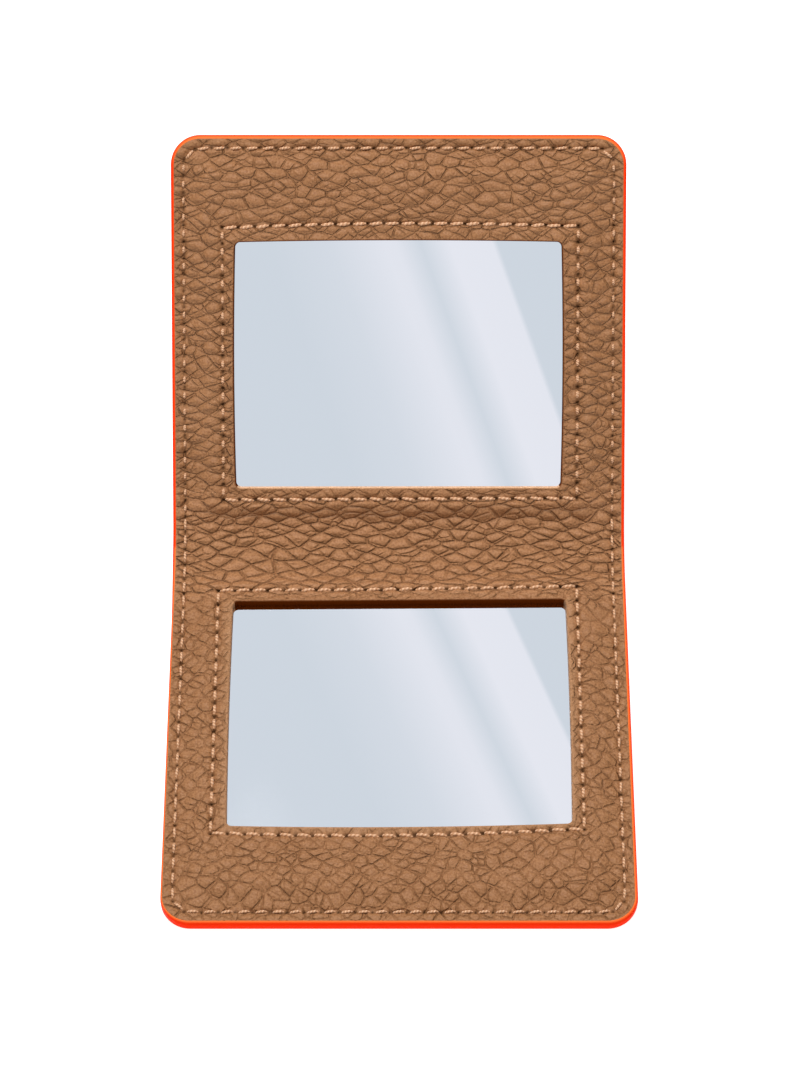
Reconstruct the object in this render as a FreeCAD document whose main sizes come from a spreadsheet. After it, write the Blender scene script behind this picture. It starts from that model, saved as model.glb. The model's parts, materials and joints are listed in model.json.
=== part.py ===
"""Folding leather compact mirror: two stitched leather halves with framed mirrors, joined by a soft fold.

Each half is modelled once, lying flat: X runs across, Y runs out from the hinge line and Z rises from the
outer leather's face to the mirror's side. The base is that half turned round to lie in front of the hinge
line, and the lid is the same half raised about it. The origin is the middle of the base's resting face.
"""

import FreeCAD, Part
import math
import os
import Sketcher
from FreeCAD import Placement, Rotation, Vector

# Driving sizes in millimetres and degrees
SIZES = {
    # one half's leather, from the hinge line to its end
    "panel_width": 79.4,
    "panel_length": 72.3,
    "corner_radius": 4.8,
    "lid_raise": 38.0,
    "closing_gap": 0.2,
    # layers, from the outside in
    "outer_thickness": 0.9,
    "stiffener_thickness": 0.4,
    "tape_thickness": 0.15,
    "glass_thickness": 1.05,
    "inner_thickness": 1.4,
    # window and mirror, with the frame's width from the leather's sides and end
    "frame_side": 10.7,
    "frame_end": 17.5,
    "window_start": 10.6,
    "window_corner": 1.0,
    "lip_round": 0.3,
    "glass_overlap": 1.2,
    "glass_corner": 1.6,
    "glass_play": 0.15,
    "tape_margin": 1.5,
    # skived board round the mirror: its lands beside the seams and its ramps
    "board_margin": 0.7,
    "board_corner": 2.4,
    "board_play": 0.1,
    "seam_land": 1.15,
    "fold_land": 0.55,
    "end_ramp_run": 4.0,
    "fold_ramp_run": 1.3,
    # how far the outer leather's bend reaches from the hinge line, and the inner one's from the ramp
    "outer_fold_reach": 1.5,
    "fold_margin": 0.15,
    # sewing
    "seam_inset": 1.8,
    "window_seam_gap": 2.05,
    "groove_width": 1.0,
    "groove_depth": 0.25,
    "stitch_pitch": 2.85,
    "stitch_length": 1.9,
    "stitch_slope": 0.25,
    "stitch_slant": 5.0,
    "thread_width": 0.56,
    "thread_height": 0.34,
    "back_thread_height": 0.22,
    # paint on the cut edges
    "paint_thickness": 0.3,
    "paint_bevel": 0.12,
}

# Levels and places worked out from them
DERIVED = {
    "half_width": "sizes.panel_width / 2",
    "hinge_y": "sizes.panel_length / 2",
    "core_bottom": "sizes.outer_thickness + sizes.stiffener_thickness",
    "core_rise": "sizes.tape_thickness + sizes.glass_thickness",
    "core_top": "core_bottom + core_rise",
    "edge_top": "core_bottom + sizes.inner_thickness",
    "plateau_top": "core_top + sizes.inner_thickness",
    "hinge_height": "plateau_top + sizes.closing_gap",
    # window, glass and the two seams
    "window_half": "half_width - sizes.frame_side",
    "window_end": "sizes.panel_length - sizes.frame_end",
    "glass_half": "window_half + sizes.glass_overlap",
    "glass_start": "sizes.window_start - sizes.glass_overlap",
    "glass_end": "window_end + sizes.glass_overlap",
    "groove_half": "sizes.groove_width / 2",
    "seam_half": "half_width - sizes.seam_inset",
    "seam_end": "sizes.panel_length - sizes.seam_inset",
    "seam_corner": "sizes.corner_radius - sizes.seam_inset",
    "window_seam_half": "window_half + sizes.window_seam_gap",
    "window_seam_start": "sizes.window_start - sizes.window_seam_gap",
    "window_seam_end": "window_end + sizes.window_seam_gap",
    # the board's crest and foot, and how far the leather over them lies outside them
    "board_inset": "sizes.seam_inset + groove_half + sizes.board_margin",
    "crest_half": "window_seam_half + groove_half + sizes.seam_land",
    "crest_start": "window_seam_start - groove_half - sizes.fold_land",
    "crest_end": "sizes.panel_length - board_inset - sizes.end_ramp_run",
    "foot_half": "half_width - board_inset",
    "foot_start": "crest_start - sizes.fold_ramp_run",
    "foot_end": "sizes.panel_length - board_inset",
    "side_ease": "sizes.inner_thickness * tan(atan(core_rise / (foot_half - crest_half)) / 2)",
    "end_ease": "sizes.inner_thickness * tan(atan(core_rise / sizes.end_ramp_run) / 2)",
    "fold_ease": "sizes.inner_thickness * tan(atan(core_rise / sizes.fold_ramp_run) / 2)",
    # centres of the two bends, in the hinge's own cross-section
    "inner_fold_reach": "foot_start - fold_ease - sizes.fold_margin",
    "outer_bend_y": "hinge_y - sizes.outer_fold_reach",
    "inner_bend_y": "hinge_y - inner_fold_reach",
    "outer_bend_z": "hinge_height + sizes.outer_fold_reach / tan(sizes.lid_raise / 2)",
    "inner_bend_z": "hinge_height + inner_fold_reach / tan(sizes.lid_raise / 2)",
}

# Two places that differ by less than this share of the half's width are the same
SAME_PLACE_SHARE = 1e-6
# Where an arc's three points lie along its turn
TURN_SHARES = (0, 0.5, 1)

doc = FreeCAD.newDocument("compact_mirror")
sub_parts = []


def add_sheet(name, cells):
    """A spreadsheet with one named cell to a row."""
    sheet = doc.addObject("Spreadsheet::Sheet", name)
    for row, (alias, content) in enumerate(cells.items(), start=1):
        sheet.set(f"A{row}", alias)
        sheet.set(f"B{row}", str(content))
        sheet.setAlias(f"B{row}", alias)
    doc.recompute()
    return sheet


sizes = add_sheet("sizes", SIZES)
derived = add_sheet("derived", {alias: "=" + formula for alias, formula in DERIVED.items()})


def value(formula):
    """The present value of a formula over the two sheets."""
    return float(derived.evalExpression(formula))


def same(first, second):
    """Whether two lengths are equal, apart from rounding."""
    return abs(first - second) < SAME_PLACE_SHARE * sizes.panel_width


# Sketches and features


def add_body(name):
    """A body whose label names its file."""
    body = doc.addObject("PartDesign::Body", name)
    body.Label = name
    sub_parts.append(body)
    return body


def add_sketch(body, role="XY_Plane", level="0"):
    """A sketch on one of the body's own planes, moved along that plane's normal."""
    sketch = body.newObject("Sketcher::SketchObject", f"{body.Name}_sketch")
    plane = next(feature for feature in body.Origin.OriginFeatures if feature.Role == role)
    sketch.AttachmentSupport = [(plane, "")]
    sketch.MapMode = "FlatFace"
    sketch.setExpression("AttachmentOffset.Base.z", level)
    return sketch


def constrain(sketch, kind, *geometry):
    """A constraint with no size."""
    sketch.addConstraint(Sketcher.Constraint(kind, *geometry))


def dimension(sketch, kind, geometry, formula):
    """A dimension bound to a formula."""
    number = sketch.addConstraint(Sketcher.Constraint(kind, *geometry, value(formula)))
    sketch.setExpression(f"Constraints[{number}]", formula)


def add_outline(sketch, left, right, start, end, end_corner=None, start_corner=None):
    """A rectangle with square corners, or with the corners at its end or start rounded to a radius."""
    low, high = Vector(value(left), value(start)), Vector(value(right), value(end))
    points = [Vector(high.x, low.y), high, Vector(low.x, high.y), low]
    radii = [start_corner, end_corner, end_corner, start_corner]
    reaches = [value(radius) if radius else 0 for radius in radii]
    directions = [Vector(0, 1), Vector(-1, 0), Vector(0, -1), Vector(1, 0)]
    lines, arcs = [], {}
    for i, point in enumerate(points):
        after = (i + 1) % len(points)
        side = Part.LineSegment(
            point + directions[i] * reaches[i],
            points[after] - directions[i] * reaches[after],
        )
        lines.append(sketch.addGeometry(side))
    for i, radius in enumerate(radii):
        if radius:
            centre = points[i] + (directions[i] - directions[i - 1]) * reaches[i]
            circle = Part.Circle(centre, Vector(0, 0, 1), reaches[i])
            arc = Part.ArcOfCircle(circle, (i - 1) * math.pi / 2, i * math.pi / 2)
            arcs[i] = sketch.addGeometry(arc)
    for i, line in enumerate(lines):
        if i in arcs:
            constrain(sketch, "Tangent", lines[i - 1], 2, arcs[i], 1)
            constrain(sketch, "Tangent", arcs[i], 2, line, 1)
            dimension(sketch, "Radius", [arcs[i]], radii[i])
        else:
            constrain(sketch, "Coincident", lines[i - 1], 2, line, 1)
        constrain(sketch, "Horizontal" if i % 2 else "Vertical", line)
    for kind, line, formula in (
        ("DistanceX", lines[0], right),
        ("DistanceY", lines[1], end),
        ("DistanceX", lines[2], left),
        ("DistanceY", lines[3], start),
    ):
        dimension(sketch, kind, [-1, 1, line, 1], formula)


def add_even_outline(sketch, half, start, end, end_corner=None, start_corner=None):
    """An outline that is even about the middle of the half."""
    add_outline(sketch, f"-({half})", half, start, end, end_corner, start_corner)


def add_seam_band(sketch, half, start, end, corner=None):
    """The two outlines of a groove along a seam, one on each side of the thread."""
    for sign in "+-":
        radius = f"{corner} {sign} derived.groove_half" if corner else None
        add_even_outline(
            sketch,
            f"{half} {sign} derived.groove_half",
            start[sign],
            f"{end} {sign} derived.groove_half",
            radius,
        )


def add_pad(body, sketch, length, even=False):
    """Grow a sketch by a length, to one side or evenly to both."""
    pad = body.newObject("PartDesign::Pad", f"{body.Name}_pad")
    pad.Profile = sketch
    pad.SideType = "Symmetric" if even else "One side"
    pad.setExpression("Length", length)
    doc.recompute()
    return pad


def add_loft(body, kind, lower, upper):
    """Join two sketches by straight sides, to add or to take away."""
    loft = body.newObject(f"PartDesign::{kind}", f"{body.Name}_loft")
    loft.Profile = lower
    loft.Sections = [upper]
    loft.Ruled = True
    doc.recompute()
    return loft


def add_pocket(body, sketch, length, upward=False, even=False):
    """Cut a sketch out of the body, and make sure that it takes something away."""
    doc.recompute()
    before = body.Shape.Volume
    pocket = body.newObject("PartDesign::Pocket", f"{body.Name}_pocket")
    pocket.Profile = sketch
    pocket.SideType = "Symmetric" if even else "One side"
    pocket.Reversed = upward
    pocket.setExpression("Length", length)
    doc.recompute()
    if not body.Shape.Volume < before:
        raise RuntimeError(f"{pocket.Name} takes nothing away")
    return pocket


def add_turn(body, kind, sketch, axis):
    """Revolve a sketch through the lid's raise, about a construction line of the same sketch."""
    turn = body.newObject(f"PartDesign::{kind}", f"{body.Name}_turn")
    turn.Profile = sketch
    turn.ReferenceAxis = (sketch, [axis])
    turn.setExpression("Angle", "sizes.lid_raise")
    doc.recompute()
    return turn


def ease_edges(body, kind, feature, reach, chosen):
    """Fillet or chamfer the edges of a feature that a test of each edge and its middle chooses."""
    names = []
    for number, edge in enumerate(feature.Shape.Edges, start=1):
        middle = edge.valueAt(edge.getParameterByLength(edge.Length / 2))
        if chosen(edge, middle):
            names.append(f"Edge{number}")
    eased = body.newObject(f"PartDesign::{kind}", f"{body.Name}_{kind.lower()}")
    eased.Base = (feature, names)
    eased.setExpression("Radius" if kind == "Fillet" else "Size", reach)
    doc.recompute()
    return eased


# Pieces of one half


def make_outer_leather(name):
    """The flat cover, from its bend to the far end, with a groove for the thread on its outer face."""
    body = add_body(name)
    sheet = add_sketch(body)
    add_even_outline(
        sheet, "derived.half_width", "sizes.outer_fold_reach", "sizes.panel_length", "sizes.corner_radius"
    )
    add_pad(body, sheet, "sizes.outer_thickness")
    groove = add_sketch(body)
    before_bend = {"+": "sizes.outer_fold_reach / 3", "-": "sizes.outer_fold_reach / 2"}
    add_seam_band(groove, "derived.seam_half", before_bend, "derived.seam_end", "derived.seam_corner")
    add_pocket(body, groove, "sizes.groove_depth", upward=True)
    return body


def make_stiffener(name):
    """The sheet between the two leathers."""
    body = add_body(name)
    sheet = add_sketch(body, level="sizes.outer_thickness")
    add_even_outline(
        sheet, "derived.half_width", "derived.inner_fold_reach", "sizes.panel_length", "sizes.corner_radius"
    )
    add_pad(body, sheet, "sizes.stiffener_thickness")
    return body


def make_frame_board(name):
    """The board round the mirror, skived to nothing at its rim."""
    body = add_body(name)
    foot = add_sketch(body, level="derived.core_bottom")
    add_even_outline(
        foot,
        "derived.foot_half - sizes.board_play",
        "derived.foot_start + sizes.board_play",
        "derived.foot_end - sizes.board_play",
        "sizes.board_corner",
        "sizes.board_corner",
    )
    crest = add_sketch(body, level="derived.core_top")
    add_even_outline(
        crest,
        "derived.crest_half - sizes.board_play",
        "derived.crest_start + sizes.board_play",
        "derived.crest_end - sizes.board_play",
        "sizes.board_corner",
        "sizes.board_corner",
    )
    add_loft(body, "AdditiveLoft", foot, crest)
    opening = add_sketch(body, level="derived.core_top")
    add_even_outline(
        opening,
        "derived.glass_half + sizes.glass_play",
        "derived.glass_start - sizes.glass_play",
        "derived.glass_end + sizes.glass_play",
        "sizes.glass_corner",
        "sizes.glass_corner",
    )
    add_pocket(body, opening, "derived.core_rise")
    return body


def make_mirror_tape(name):
    """The double-sided tape that holds the mirror to the stiffener."""
    body = add_body(name)
    sheet = add_sketch(body, level="derived.core_bottom")
    add_even_outline(
        sheet,
        "derived.glass_half - sizes.tape_margin",
        "derived.glass_start + sizes.tape_margin",
        "derived.glass_end - sizes.tape_margin",
    )
    add_pad(body, sheet, "sizes.tape_thickness")
    return body


def make_mirror_glass(name):
    """The silvered glass, larger than the window by its overlap."""
    body = add_body(name)
    sheet = add_sketch(body, level="derived.core_bottom + sizes.tape_thickness")
    add_even_outline(
        sheet,
        "derived.glass_half",
        "derived.glass_start",
        "derived.glass_end",
        "sizes.glass_corner",
        "sizes.glass_corner",
    )
    add_pad(body, sheet, "sizes.glass_thickness")
    return body


def make_inner_leather(name):
    """The facing: a flat margin that ramps up over the board to a frame round the window."""
    body = add_body(name)
    margin = add_sketch(body, level="derived.core_bottom")
    add_even_outline(
        margin,
        "derived.half_width",
        "derived.inner_fold_reach",
        "sizes.panel_length",
        "sizes.corner_radius",
    )
    add_pad(body, margin, "sizes.inner_thickness")
    eases = ("derived.side_ease", "derived.end_ease", "derived.fold_ease")
    ramps = {
        "AdditiveLoft": ("derived.edge_top", "derived.plateau_top", *eases),
        "SubtractiveLoft": ("derived.core_bottom", "derived.core_top", "0", "0", "0"),
    }
    for kind, (foot_level, crest_level, side_ease, end_ease, fold_ease) in ramps.items():
        foot = add_sketch(body, level=foot_level)
        add_even_outline(
            foot,
            f"derived.foot_half + {side_ease}",
            f"derived.foot_start - {fold_ease}",
            f"derived.foot_end + {end_ease}",
            "sizes.board_corner",
            "sizes.board_corner",
        )
        crest = add_sketch(body, level=crest_level)
        add_even_outline(
            crest,
            f"derived.crest_half + {side_ease}",
            f"derived.crest_start - {fold_ease}",
            f"derived.crest_end + {end_ease}",
            "sizes.board_corner",
            "sizes.board_corner",
        )
        add_loft(body, kind, foot, crest)
    window = add_sketch(body, level="derived.plateau_top")
    add_even_outline(
        window,
        "derived.window_half",
        "sizes.window_start",
        "derived.window_end",
        "sizes.window_corner",
        "sizes.window_corner",
    )
    cut = add_pocket(body, window, "derived.plateau_top")

    def on_lip(edge, middle):
        inside = abs(middle.x) < derived.window_seam_half
        inside = inside and derived.window_seam_start < middle.y < derived.window_seam_end
        return inside and same(middle.z, derived.plateau_top)

    ease_edges(body, "Fillet", cut, "sizes.lip_round", on_lip)
    edge_groove = add_sketch(body, level="derived.edge_top")
    before_bend = {"+": "derived.inner_fold_reach / 3", "-": "derived.inner_fold_reach / 2"}
    add_seam_band(edge_groove, "derived.seam_half", before_bend, "derived.seam_end", "derived.seam_corner")
    add_pocket(body, edge_groove, "sizes.groove_depth")
    window_groove = add_sketch(body, level="derived.plateau_top")
    start = {sign: f"derived.window_seam_start {back} derived.groove_half" for sign, back in ("+-", "-+")}
    add_seam_band(window_groove, "derived.window_seam_half", start, "derived.window_seam_end")
    add_pocket(body, window_groove, "sizes.groove_depth")
    return body


def make_edge_paint(name):
    """The coat of paint round the three cut edges, bevelled on its outside."""
    body = add_body(name)
    outside = add_sketch(body)
    add_even_outline(
        outside,
        "derived.half_width + sizes.paint_thickness",
        "derived.inner_fold_reach",
        "sizes.panel_length + sizes.paint_thickness",
        "sizes.corner_radius + sizes.paint_thickness",
    )
    add_pad(body, outside, "derived.edge_top")
    leather = add_sketch(body)
    add_even_outline(
        leather,
        "derived.half_width",
        "derived.inner_fold_reach / 2",
        "sizes.panel_length",
        "sizes.corner_radius",
    )
    coat = add_pocket(body, leather, "derived.edge_top", upward=True)

    def on_outside(edge, middle):
        level = same(middle.z, 0) or same(middle.z, derived.edge_top)
        half_coat = sizes.paint_thickness / 2
        beyond = abs(middle.x) - derived.half_width > half_coat or middle.y - sizes.panel_length > half_coat
        corner = isinstance(edge.Curve, Part.Circle) and edge.Curve.Radius - sizes.corner_radius > half_coat
        return level and (beyond or corner)

    ease_edges(body, "Chamfer", coat, "sizes.paint_bevel", on_outside)
    return body


# Stitches


def point_on(path, distance):
    """The point and the direction at a distance along a list of edges."""
    for edge in path:
        if distance <= edge.Length or edge is path[-1]:
            break
        distance -= edge.Length
    parameter = edge.getParameterByLength(min(distance, edge.Length))
    return edge.valueAt(parameter), edge.tangentAt(parameter)


def stitch(path, middle, normal_at, height):
    """One stitch, a bar that slopes down to its needle holes and lies a little across the seam."""
    half_length = sizes.stitch_length / 2
    centre, along = point_on(path, middle)
    ends = [point_on(path, middle + reach)[0] for reach in (-half_length, half_length)]
    normal = normal_at(centre)
    chord = (ends[0] + ends[1]) / 2
    if (chord - centre).dot(normal) >= 0:
        centre, along = chord, (ends[1] - ends[0]).normalize()
    slant = Rotation(normal, sizes.stitch_slant)
    along = slant.multVec(along)
    across = normal.cross(along) * sizes.thread_width
    top_length = half_length - sizes.stitch_slope
    section = [(-half_length, 0), (half_length, 0), (top_length, height), (-top_length, height)]
    corners = [centre - across / 2 + along * reach + normal * rise for reach, rise in section]
    return Part.Face(Part.makePolygon(corners + corners[:1])).extrude(across)


def add_stitches(name, paths, normal_at, height):
    """The stitches of one seam, spaced evenly along each path."""
    bars = []
    for path in paths:
        length = sum(edge.Length for edge in path)
        count = max(1, round(length / sizes.stitch_pitch))
        step = length / count
        bars += [stitch(path, i * step + step / 2, normal_at, height) for i in range(count)]
    feature = doc.addObject("Part::Feature", name)
    feature.Label = name
    feature.Shape = Part.makeCompound(bars)
    sub_parts.append(feature)
    return feature


def edge_path(start, level):
    """The seam round three edges of a half, from one end of the bend to the other."""
    half, end, radius = derived.seam_half, derived.seam_end, derived.seam_corner
    middle = radius * (1 - math.cos(math.pi / 4))
    points = [
        Vector(-half, start, level),
        Vector(-half, end - radius, level),
        Vector(-half + middle, end - middle, level),
        Vector(-half + radius, end, level),
    ]
    across = [Vector(-point.x, point.y, point.z) for point in reversed(points)]
    return [
        Part.LineSegment(points[0], points[1]).toShape(),
        Part.Arc(*points[1:]).toShape(),
        Part.LineSegment(points[3], across[0]).toShape(),
        Part.Arc(*across[:3]).toShape(),
        Part.LineSegment(across[2], across[3]).toShape(),
    ]


def make_front_stitches(name):
    """The edge seam on the mirror's side."""
    path = edge_path(derived.inner_fold_reach, derived.edge_top - sizes.groove_depth)
    return add_stitches(name, [path], lambda point: Vector(0, 0, 1), sizes.thread_height)


def make_back_stitches(name):
    """The edge seam on the outer leather, sunk below the face that the mirror rests on."""
    path = edge_path(sizes.outer_fold_reach, sizes.groove_depth)
    return add_stitches(name, [path], lambda point: Vector(0, 0, -1), sizes.back_thread_height)


def make_window_stitches(name):
    """The seam round the window, with square corners."""
    half, level = derived.window_seam_half, derived.plateau_top - sizes.groove_depth
    start, end = derived.window_seam_start, derived.window_seam_end
    corners = [(-half, start), (-half, end), (half, end), (half, start), (-half, start)]
    points = [Vector(*corner, level) for corner in corners]
    sides = [[Part.LineSegment(*pair).toShape()] for pair in zip(points, points[1:])]
    return add_stitches(name, sides, lambda point: Vector(0, 0, 1), sizes.thread_height)


# Pieces of the fold


def add_bend_sketch(body, bend):
    """A sketch across the hinge line where a bend begins, with the bend's centre line in it."""
    sketch = add_sketch(body, "XZ_Plane", f"-derived.{bend}_bend_y")
    half, height = derived.half_width, value(f"derived.{bend}_bend_z")
    line = Part.LineSegment(Vector(-half, height), Vector(half, height))
    axis = sketch.addGeometry(line, True)
    constrain(sketch, "Horizontal", axis)
    dimension(sketch, "DistanceY", [-1, 1, axis, 1], f"derived.{bend}_bend_z")
    dimension(sketch, "DistanceX", [-1, 1, axis, 1], "-derived.half_width")
    dimension(sketch, "DistanceX", [-1, 1, axis, 2], "derived.half_width")
    return sketch


def make_fold_leather(name, bend, low, high, groove_low, groove_high):
    """One leather's bend: its section turned about the centre line, with a groove for each thread."""
    body = add_body(name)
    section = add_bend_sketch(body, bend)
    add_even_outline(section, "derived.half_width", low, high)
    add_turn(body, "Revolution", section, "Axis0")
    whole = body.Shape.Volume
    grooves = add_bend_sketch(body, bend)
    for side in ("-derived.seam_half", "derived.seam_half"):
        add_outline(
            grooves,
            f"{side} - derived.groove_half",
            f"{side} + derived.groove_half",
            groove_low,
            groove_high,
        )
    add_turn(body, "Groove", grooves, "Axis0")
    if not body.Shape.Volume < whole:
        raise RuntimeError(f"{name} has no grooves")
    return body


def add_fold_profile(sketch, low, high):
    """The fold's section between two levels: a tight bend below, a wide bend above and two square ends."""
    raise_angle = math.radians(sizes.lid_raise)
    out = Vector(math.cos(raise_angle), math.sin(raise_angle))
    up = Vector(-out.y, out.x)
    bottom, top = value(low), value(high)
    flat = derived.inner_fold_reach - sizes.outer_fold_reach
    tight = Vector(derived.outer_bend_y, derived.outer_bend_z)
    wide = Vector(derived.inner_bend_y, derived.inner_bend_z)
    first = Vector(wide.x, bottom)
    tight_start = Vector(tight.x, bottom)
    tight_end = tight - up * (tight.y - bottom)
    last = tight_end + out * flat
    quarter = math.pi / 2

    def bend(centre, level):
        circle = Part.Circle(centre, Vector(0, 0, 1), centre.y - level)
        return Part.ArcOfCircle(circle, -quarter, raise_angle - quarter)

    flat_base = sketch.addGeometry(Part.LineSegment(first, tight_start))
    tight_bend = sketch.addGeometry(bend(tight, bottom))
    flat_lid = sketch.addGeometry(Part.LineSegment(tight_end, last))
    end_lid = sketch.addGeometry(Part.LineSegment(last, last + up * (top - bottom)))
    wide_bend = sketch.addGeometry(bend(wide, top))
    end_base = sketch.addGeometry(Part.LineSegment(Vector(wide.x, top), first))
    constrain(sketch, "Tangent", flat_base, 2, tight_bend, 1)
    constrain(sketch, "Tangent", tight_bend, 2, flat_lid, 1)
    constrain(sketch, "Coincident", flat_lid, 2, end_lid, 1)
    constrain(sketch, "Coincident", end_lid, 2, wide_bend, 2)
    constrain(sketch, "Coincident", wide_bend, 1, end_base, 1)
    constrain(sketch, "Coincident", end_base, 2, flat_base, 1)
    constrain(sketch, "Horizontal", flat_base)
    constrain(sketch, "Vertical", end_base)
    constrain(sketch, "Perpendicular", flat_lid, end_lid)
    constrain(sketch, "Equal", flat_base, flat_lid)
    constrain(sketch, "Equal", end_base, end_lid)
    dimension(sketch, "DistanceX", [-1, 1, flat_base, 1], "derived.inner_bend_y")
    dimension(sketch, "DistanceX", [-1, 1, flat_base, 2], "derived.outer_bend_y")
    dimension(sketch, "DistanceY", [-1, 1, flat_base, 1], low)
    dimension(sketch, "DistanceY", [-1, 1, end_base, 1], high)
    dimension(sketch, "Radius", [tight_bend], f"derived.outer_bend_z - ({low})")
    dimension(sketch, "Radius", [wide_bend], f"derived.inner_bend_z - ({high})")
    angle = sketch.addConstraint(Sketcher.Constraint("Angle", flat_lid, raise_angle))
    sketch.setExpression(f"Constraints[{angle}]", "sizes.lid_raise * 1 deg")


def make_fold_reinforcement(name):
    """The soft strip that fills the fold between the two leathers."""
    body = add_body(name)
    profile = add_sketch(body, "YZ_Plane")
    add_fold_profile(profile, "sizes.outer_thickness", "derived.core_bottom")
    add_pad(body, profile, "sizes.panel_width", even=True)
    return body


def make_fold_edge_paint(name):
    """The coat of paint on both ends of the fold."""
    body = add_body(name)
    profile = add_sketch(body, "YZ_Plane")
    add_fold_profile(profile, "0", "derived.edge_top")
    add_pad(body, profile, "sizes.panel_width + 2 * sizes.paint_thickness", even=True)
    middle = add_sketch(body, "YZ_Plane")
    add_fold_profile(middle, "0", "derived.edge_top")
    coats = add_pocket(body, middle, "sizes.panel_width", even=True)
    outside = derived.half_width + sizes.paint_thickness

    def on_outside(edge, middle):
        return same(abs(middle.x), outside) and not same(edge.Length, derived.edge_top)

    ease_edges(body, "Chamfer", coats, "sizes.paint_bevel", on_outside)
    return body


def make_fold_stitches(name, bend, radius, inward, height):
    """One side of the edge seam where it crosses the fold, at both ends of the fold."""
    centre_y, centre_z = value(f"derived.{bend}_bend_y"), value(f"derived.{bend}_bend_z")
    paths = []
    for side in (-derived.seam_half, derived.seam_half):
        points = []
        for share in TURN_SHARES:
            turn = math.radians(sizes.lid_raise * share)
            outward = Vector(0, math.sin(turn), -math.cos(turn))
            points.append(Vector(side, centre_y, centre_z) + outward * radius)
        paths.append([Part.Arc(*points).toShape()])

    def normal_at(point):
        towards = Vector(0, centre_y - point.y, centre_z - point.z).normalize()
        return towards if inward else -towards

    return add_stitches(name, paths, normal_at, height)


# Assembly


def place_base(item):
    """Turn a half round so that it lies in front of the hinge line."""
    item.Placement = Placement(Vector(), Rotation(Vector(0, 0, 1), 180))
    item.setExpression("Placement.Base.y", "derived.hinge_y")


def place_lid(item):
    """Raise a half about the hinge line."""
    item.Placement = Placement(Vector(), Rotation(Vector(1, 0, 0), sizes.lid_raise))
    item.setExpression("Placement.Rotation.Angle", "sizes.lid_raise")
    item.setExpression("Placement.Base.y", "derived.hinge_y + derived.hinge_height * sin(sizes.lid_raise)")
    item.setExpression("Placement.Base.z", "derived.hinge_height * (1 - cos(sizes.lid_raise))")


HALF_PIECES = {
    "outer_leather": make_outer_leather,
    "stiffener": make_stiffener,
    "frame_board": make_frame_board,
    "mirror_tape": make_mirror_tape,
    "mirror_glass": make_mirror_glass,
    "inner_leather": make_inner_leather,
    "edge_paint": make_edge_paint,
    "window_stitches": make_window_stitches,
    "front_stitches": make_front_stitches,
    "back_stitches": make_back_stitches,
}

for half_name, place in (("base", place_base), ("lid", place_lid)):
    for piece_name, make in HALF_PIECES.items():
        place(make(f"{half_name}_{piece_name}"))

make_fold_leather(
    "fold_outer_leather",
    "outer",
    "0",
    "sizes.outer_thickness",
    "-sizes.groove_depth",
    "sizes.groove_depth",
)
make_fold_leather(
    "fold_inner_leather",
    "inner",
    "derived.core_bottom",
    "derived.edge_top",
    "derived.edge_top - sizes.groove_depth",
    "derived.edge_top + sizes.groove_depth",
)
make_fold_reinforcement("fold_reinforcement")
make_fold_edge_paint("fold_edge_paint")
make_fold_stitches(
    "fold_front_stitches",
    "inner",
    value("derived.inner_bend_z - derived.edge_top + sizes.groove_depth"),
    True,
    sizes.thread_height,
)
make_fold_stitches(
    "fold_back_stitches",
    "outer",
    value("derived.outer_bend_z - sizes.groove_depth"),
    False,
    sizes.back_thread_height,
)
doc.recompute()

failed = [item.Name for item in doc.Objects if {"Invalid", "Error"} & set(item.State)]
failed += [item.Label for item in sub_parts if item.Shape.isNull() or not item.Shape.isValid()]
if failed:
    raise RuntimeError("these didn't build: " + ", ".join(failed))

os.makedirs("parts", exist_ok=True)
for item in sub_parts:
    item.Shape.exportStep(f"parts/{item.Label}.step")
    print(f"{item.Label}: {len(item.Shape.Solids)} solids, {item.Shape.Volume:.1f} mm3")
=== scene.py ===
# %% [markdown]
# # A folding leather compact mirror
#
# A pocket mirror of this kind is a small leather wallet. A facing with two windows and a plain cover are
# sewn together round boards and two mirrors, and the cut edges are painted. The CAD model fixes every size
# and the fold. This lesson replaces its soft pieces (leather, thread and paint) by finer ones in the same
# places, and gives every piece the finish of its real material.

import json
import math

import bmesh
import bpy
import numpy as np
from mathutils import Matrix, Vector


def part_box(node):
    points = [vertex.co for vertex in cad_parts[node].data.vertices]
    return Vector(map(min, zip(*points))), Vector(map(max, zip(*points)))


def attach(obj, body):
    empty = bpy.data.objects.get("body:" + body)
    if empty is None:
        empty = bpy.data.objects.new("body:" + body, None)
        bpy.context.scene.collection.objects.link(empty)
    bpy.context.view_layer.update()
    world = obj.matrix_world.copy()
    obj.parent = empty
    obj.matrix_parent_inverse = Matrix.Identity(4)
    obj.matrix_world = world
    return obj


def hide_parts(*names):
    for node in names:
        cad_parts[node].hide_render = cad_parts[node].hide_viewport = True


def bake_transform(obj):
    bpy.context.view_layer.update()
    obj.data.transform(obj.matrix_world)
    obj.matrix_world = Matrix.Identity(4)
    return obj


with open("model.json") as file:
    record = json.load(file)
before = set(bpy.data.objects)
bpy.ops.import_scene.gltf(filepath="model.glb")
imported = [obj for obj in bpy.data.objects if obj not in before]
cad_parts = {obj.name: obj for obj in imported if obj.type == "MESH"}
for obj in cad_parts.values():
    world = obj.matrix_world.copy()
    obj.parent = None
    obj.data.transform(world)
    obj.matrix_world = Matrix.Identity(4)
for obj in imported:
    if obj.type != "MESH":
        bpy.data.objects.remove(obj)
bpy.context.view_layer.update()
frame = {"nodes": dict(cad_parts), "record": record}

# %% [markdown]
# ## The camera
#
# The photograph was taken with a long lens, from in front and well above. The angle, the distance and the
# focal length come from a fit of the model's edges to the picture, so the two can be laid over each other.
# The lens is given in pixels of the picture's height and turned into millimetres of the sensor's long side.

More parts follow.
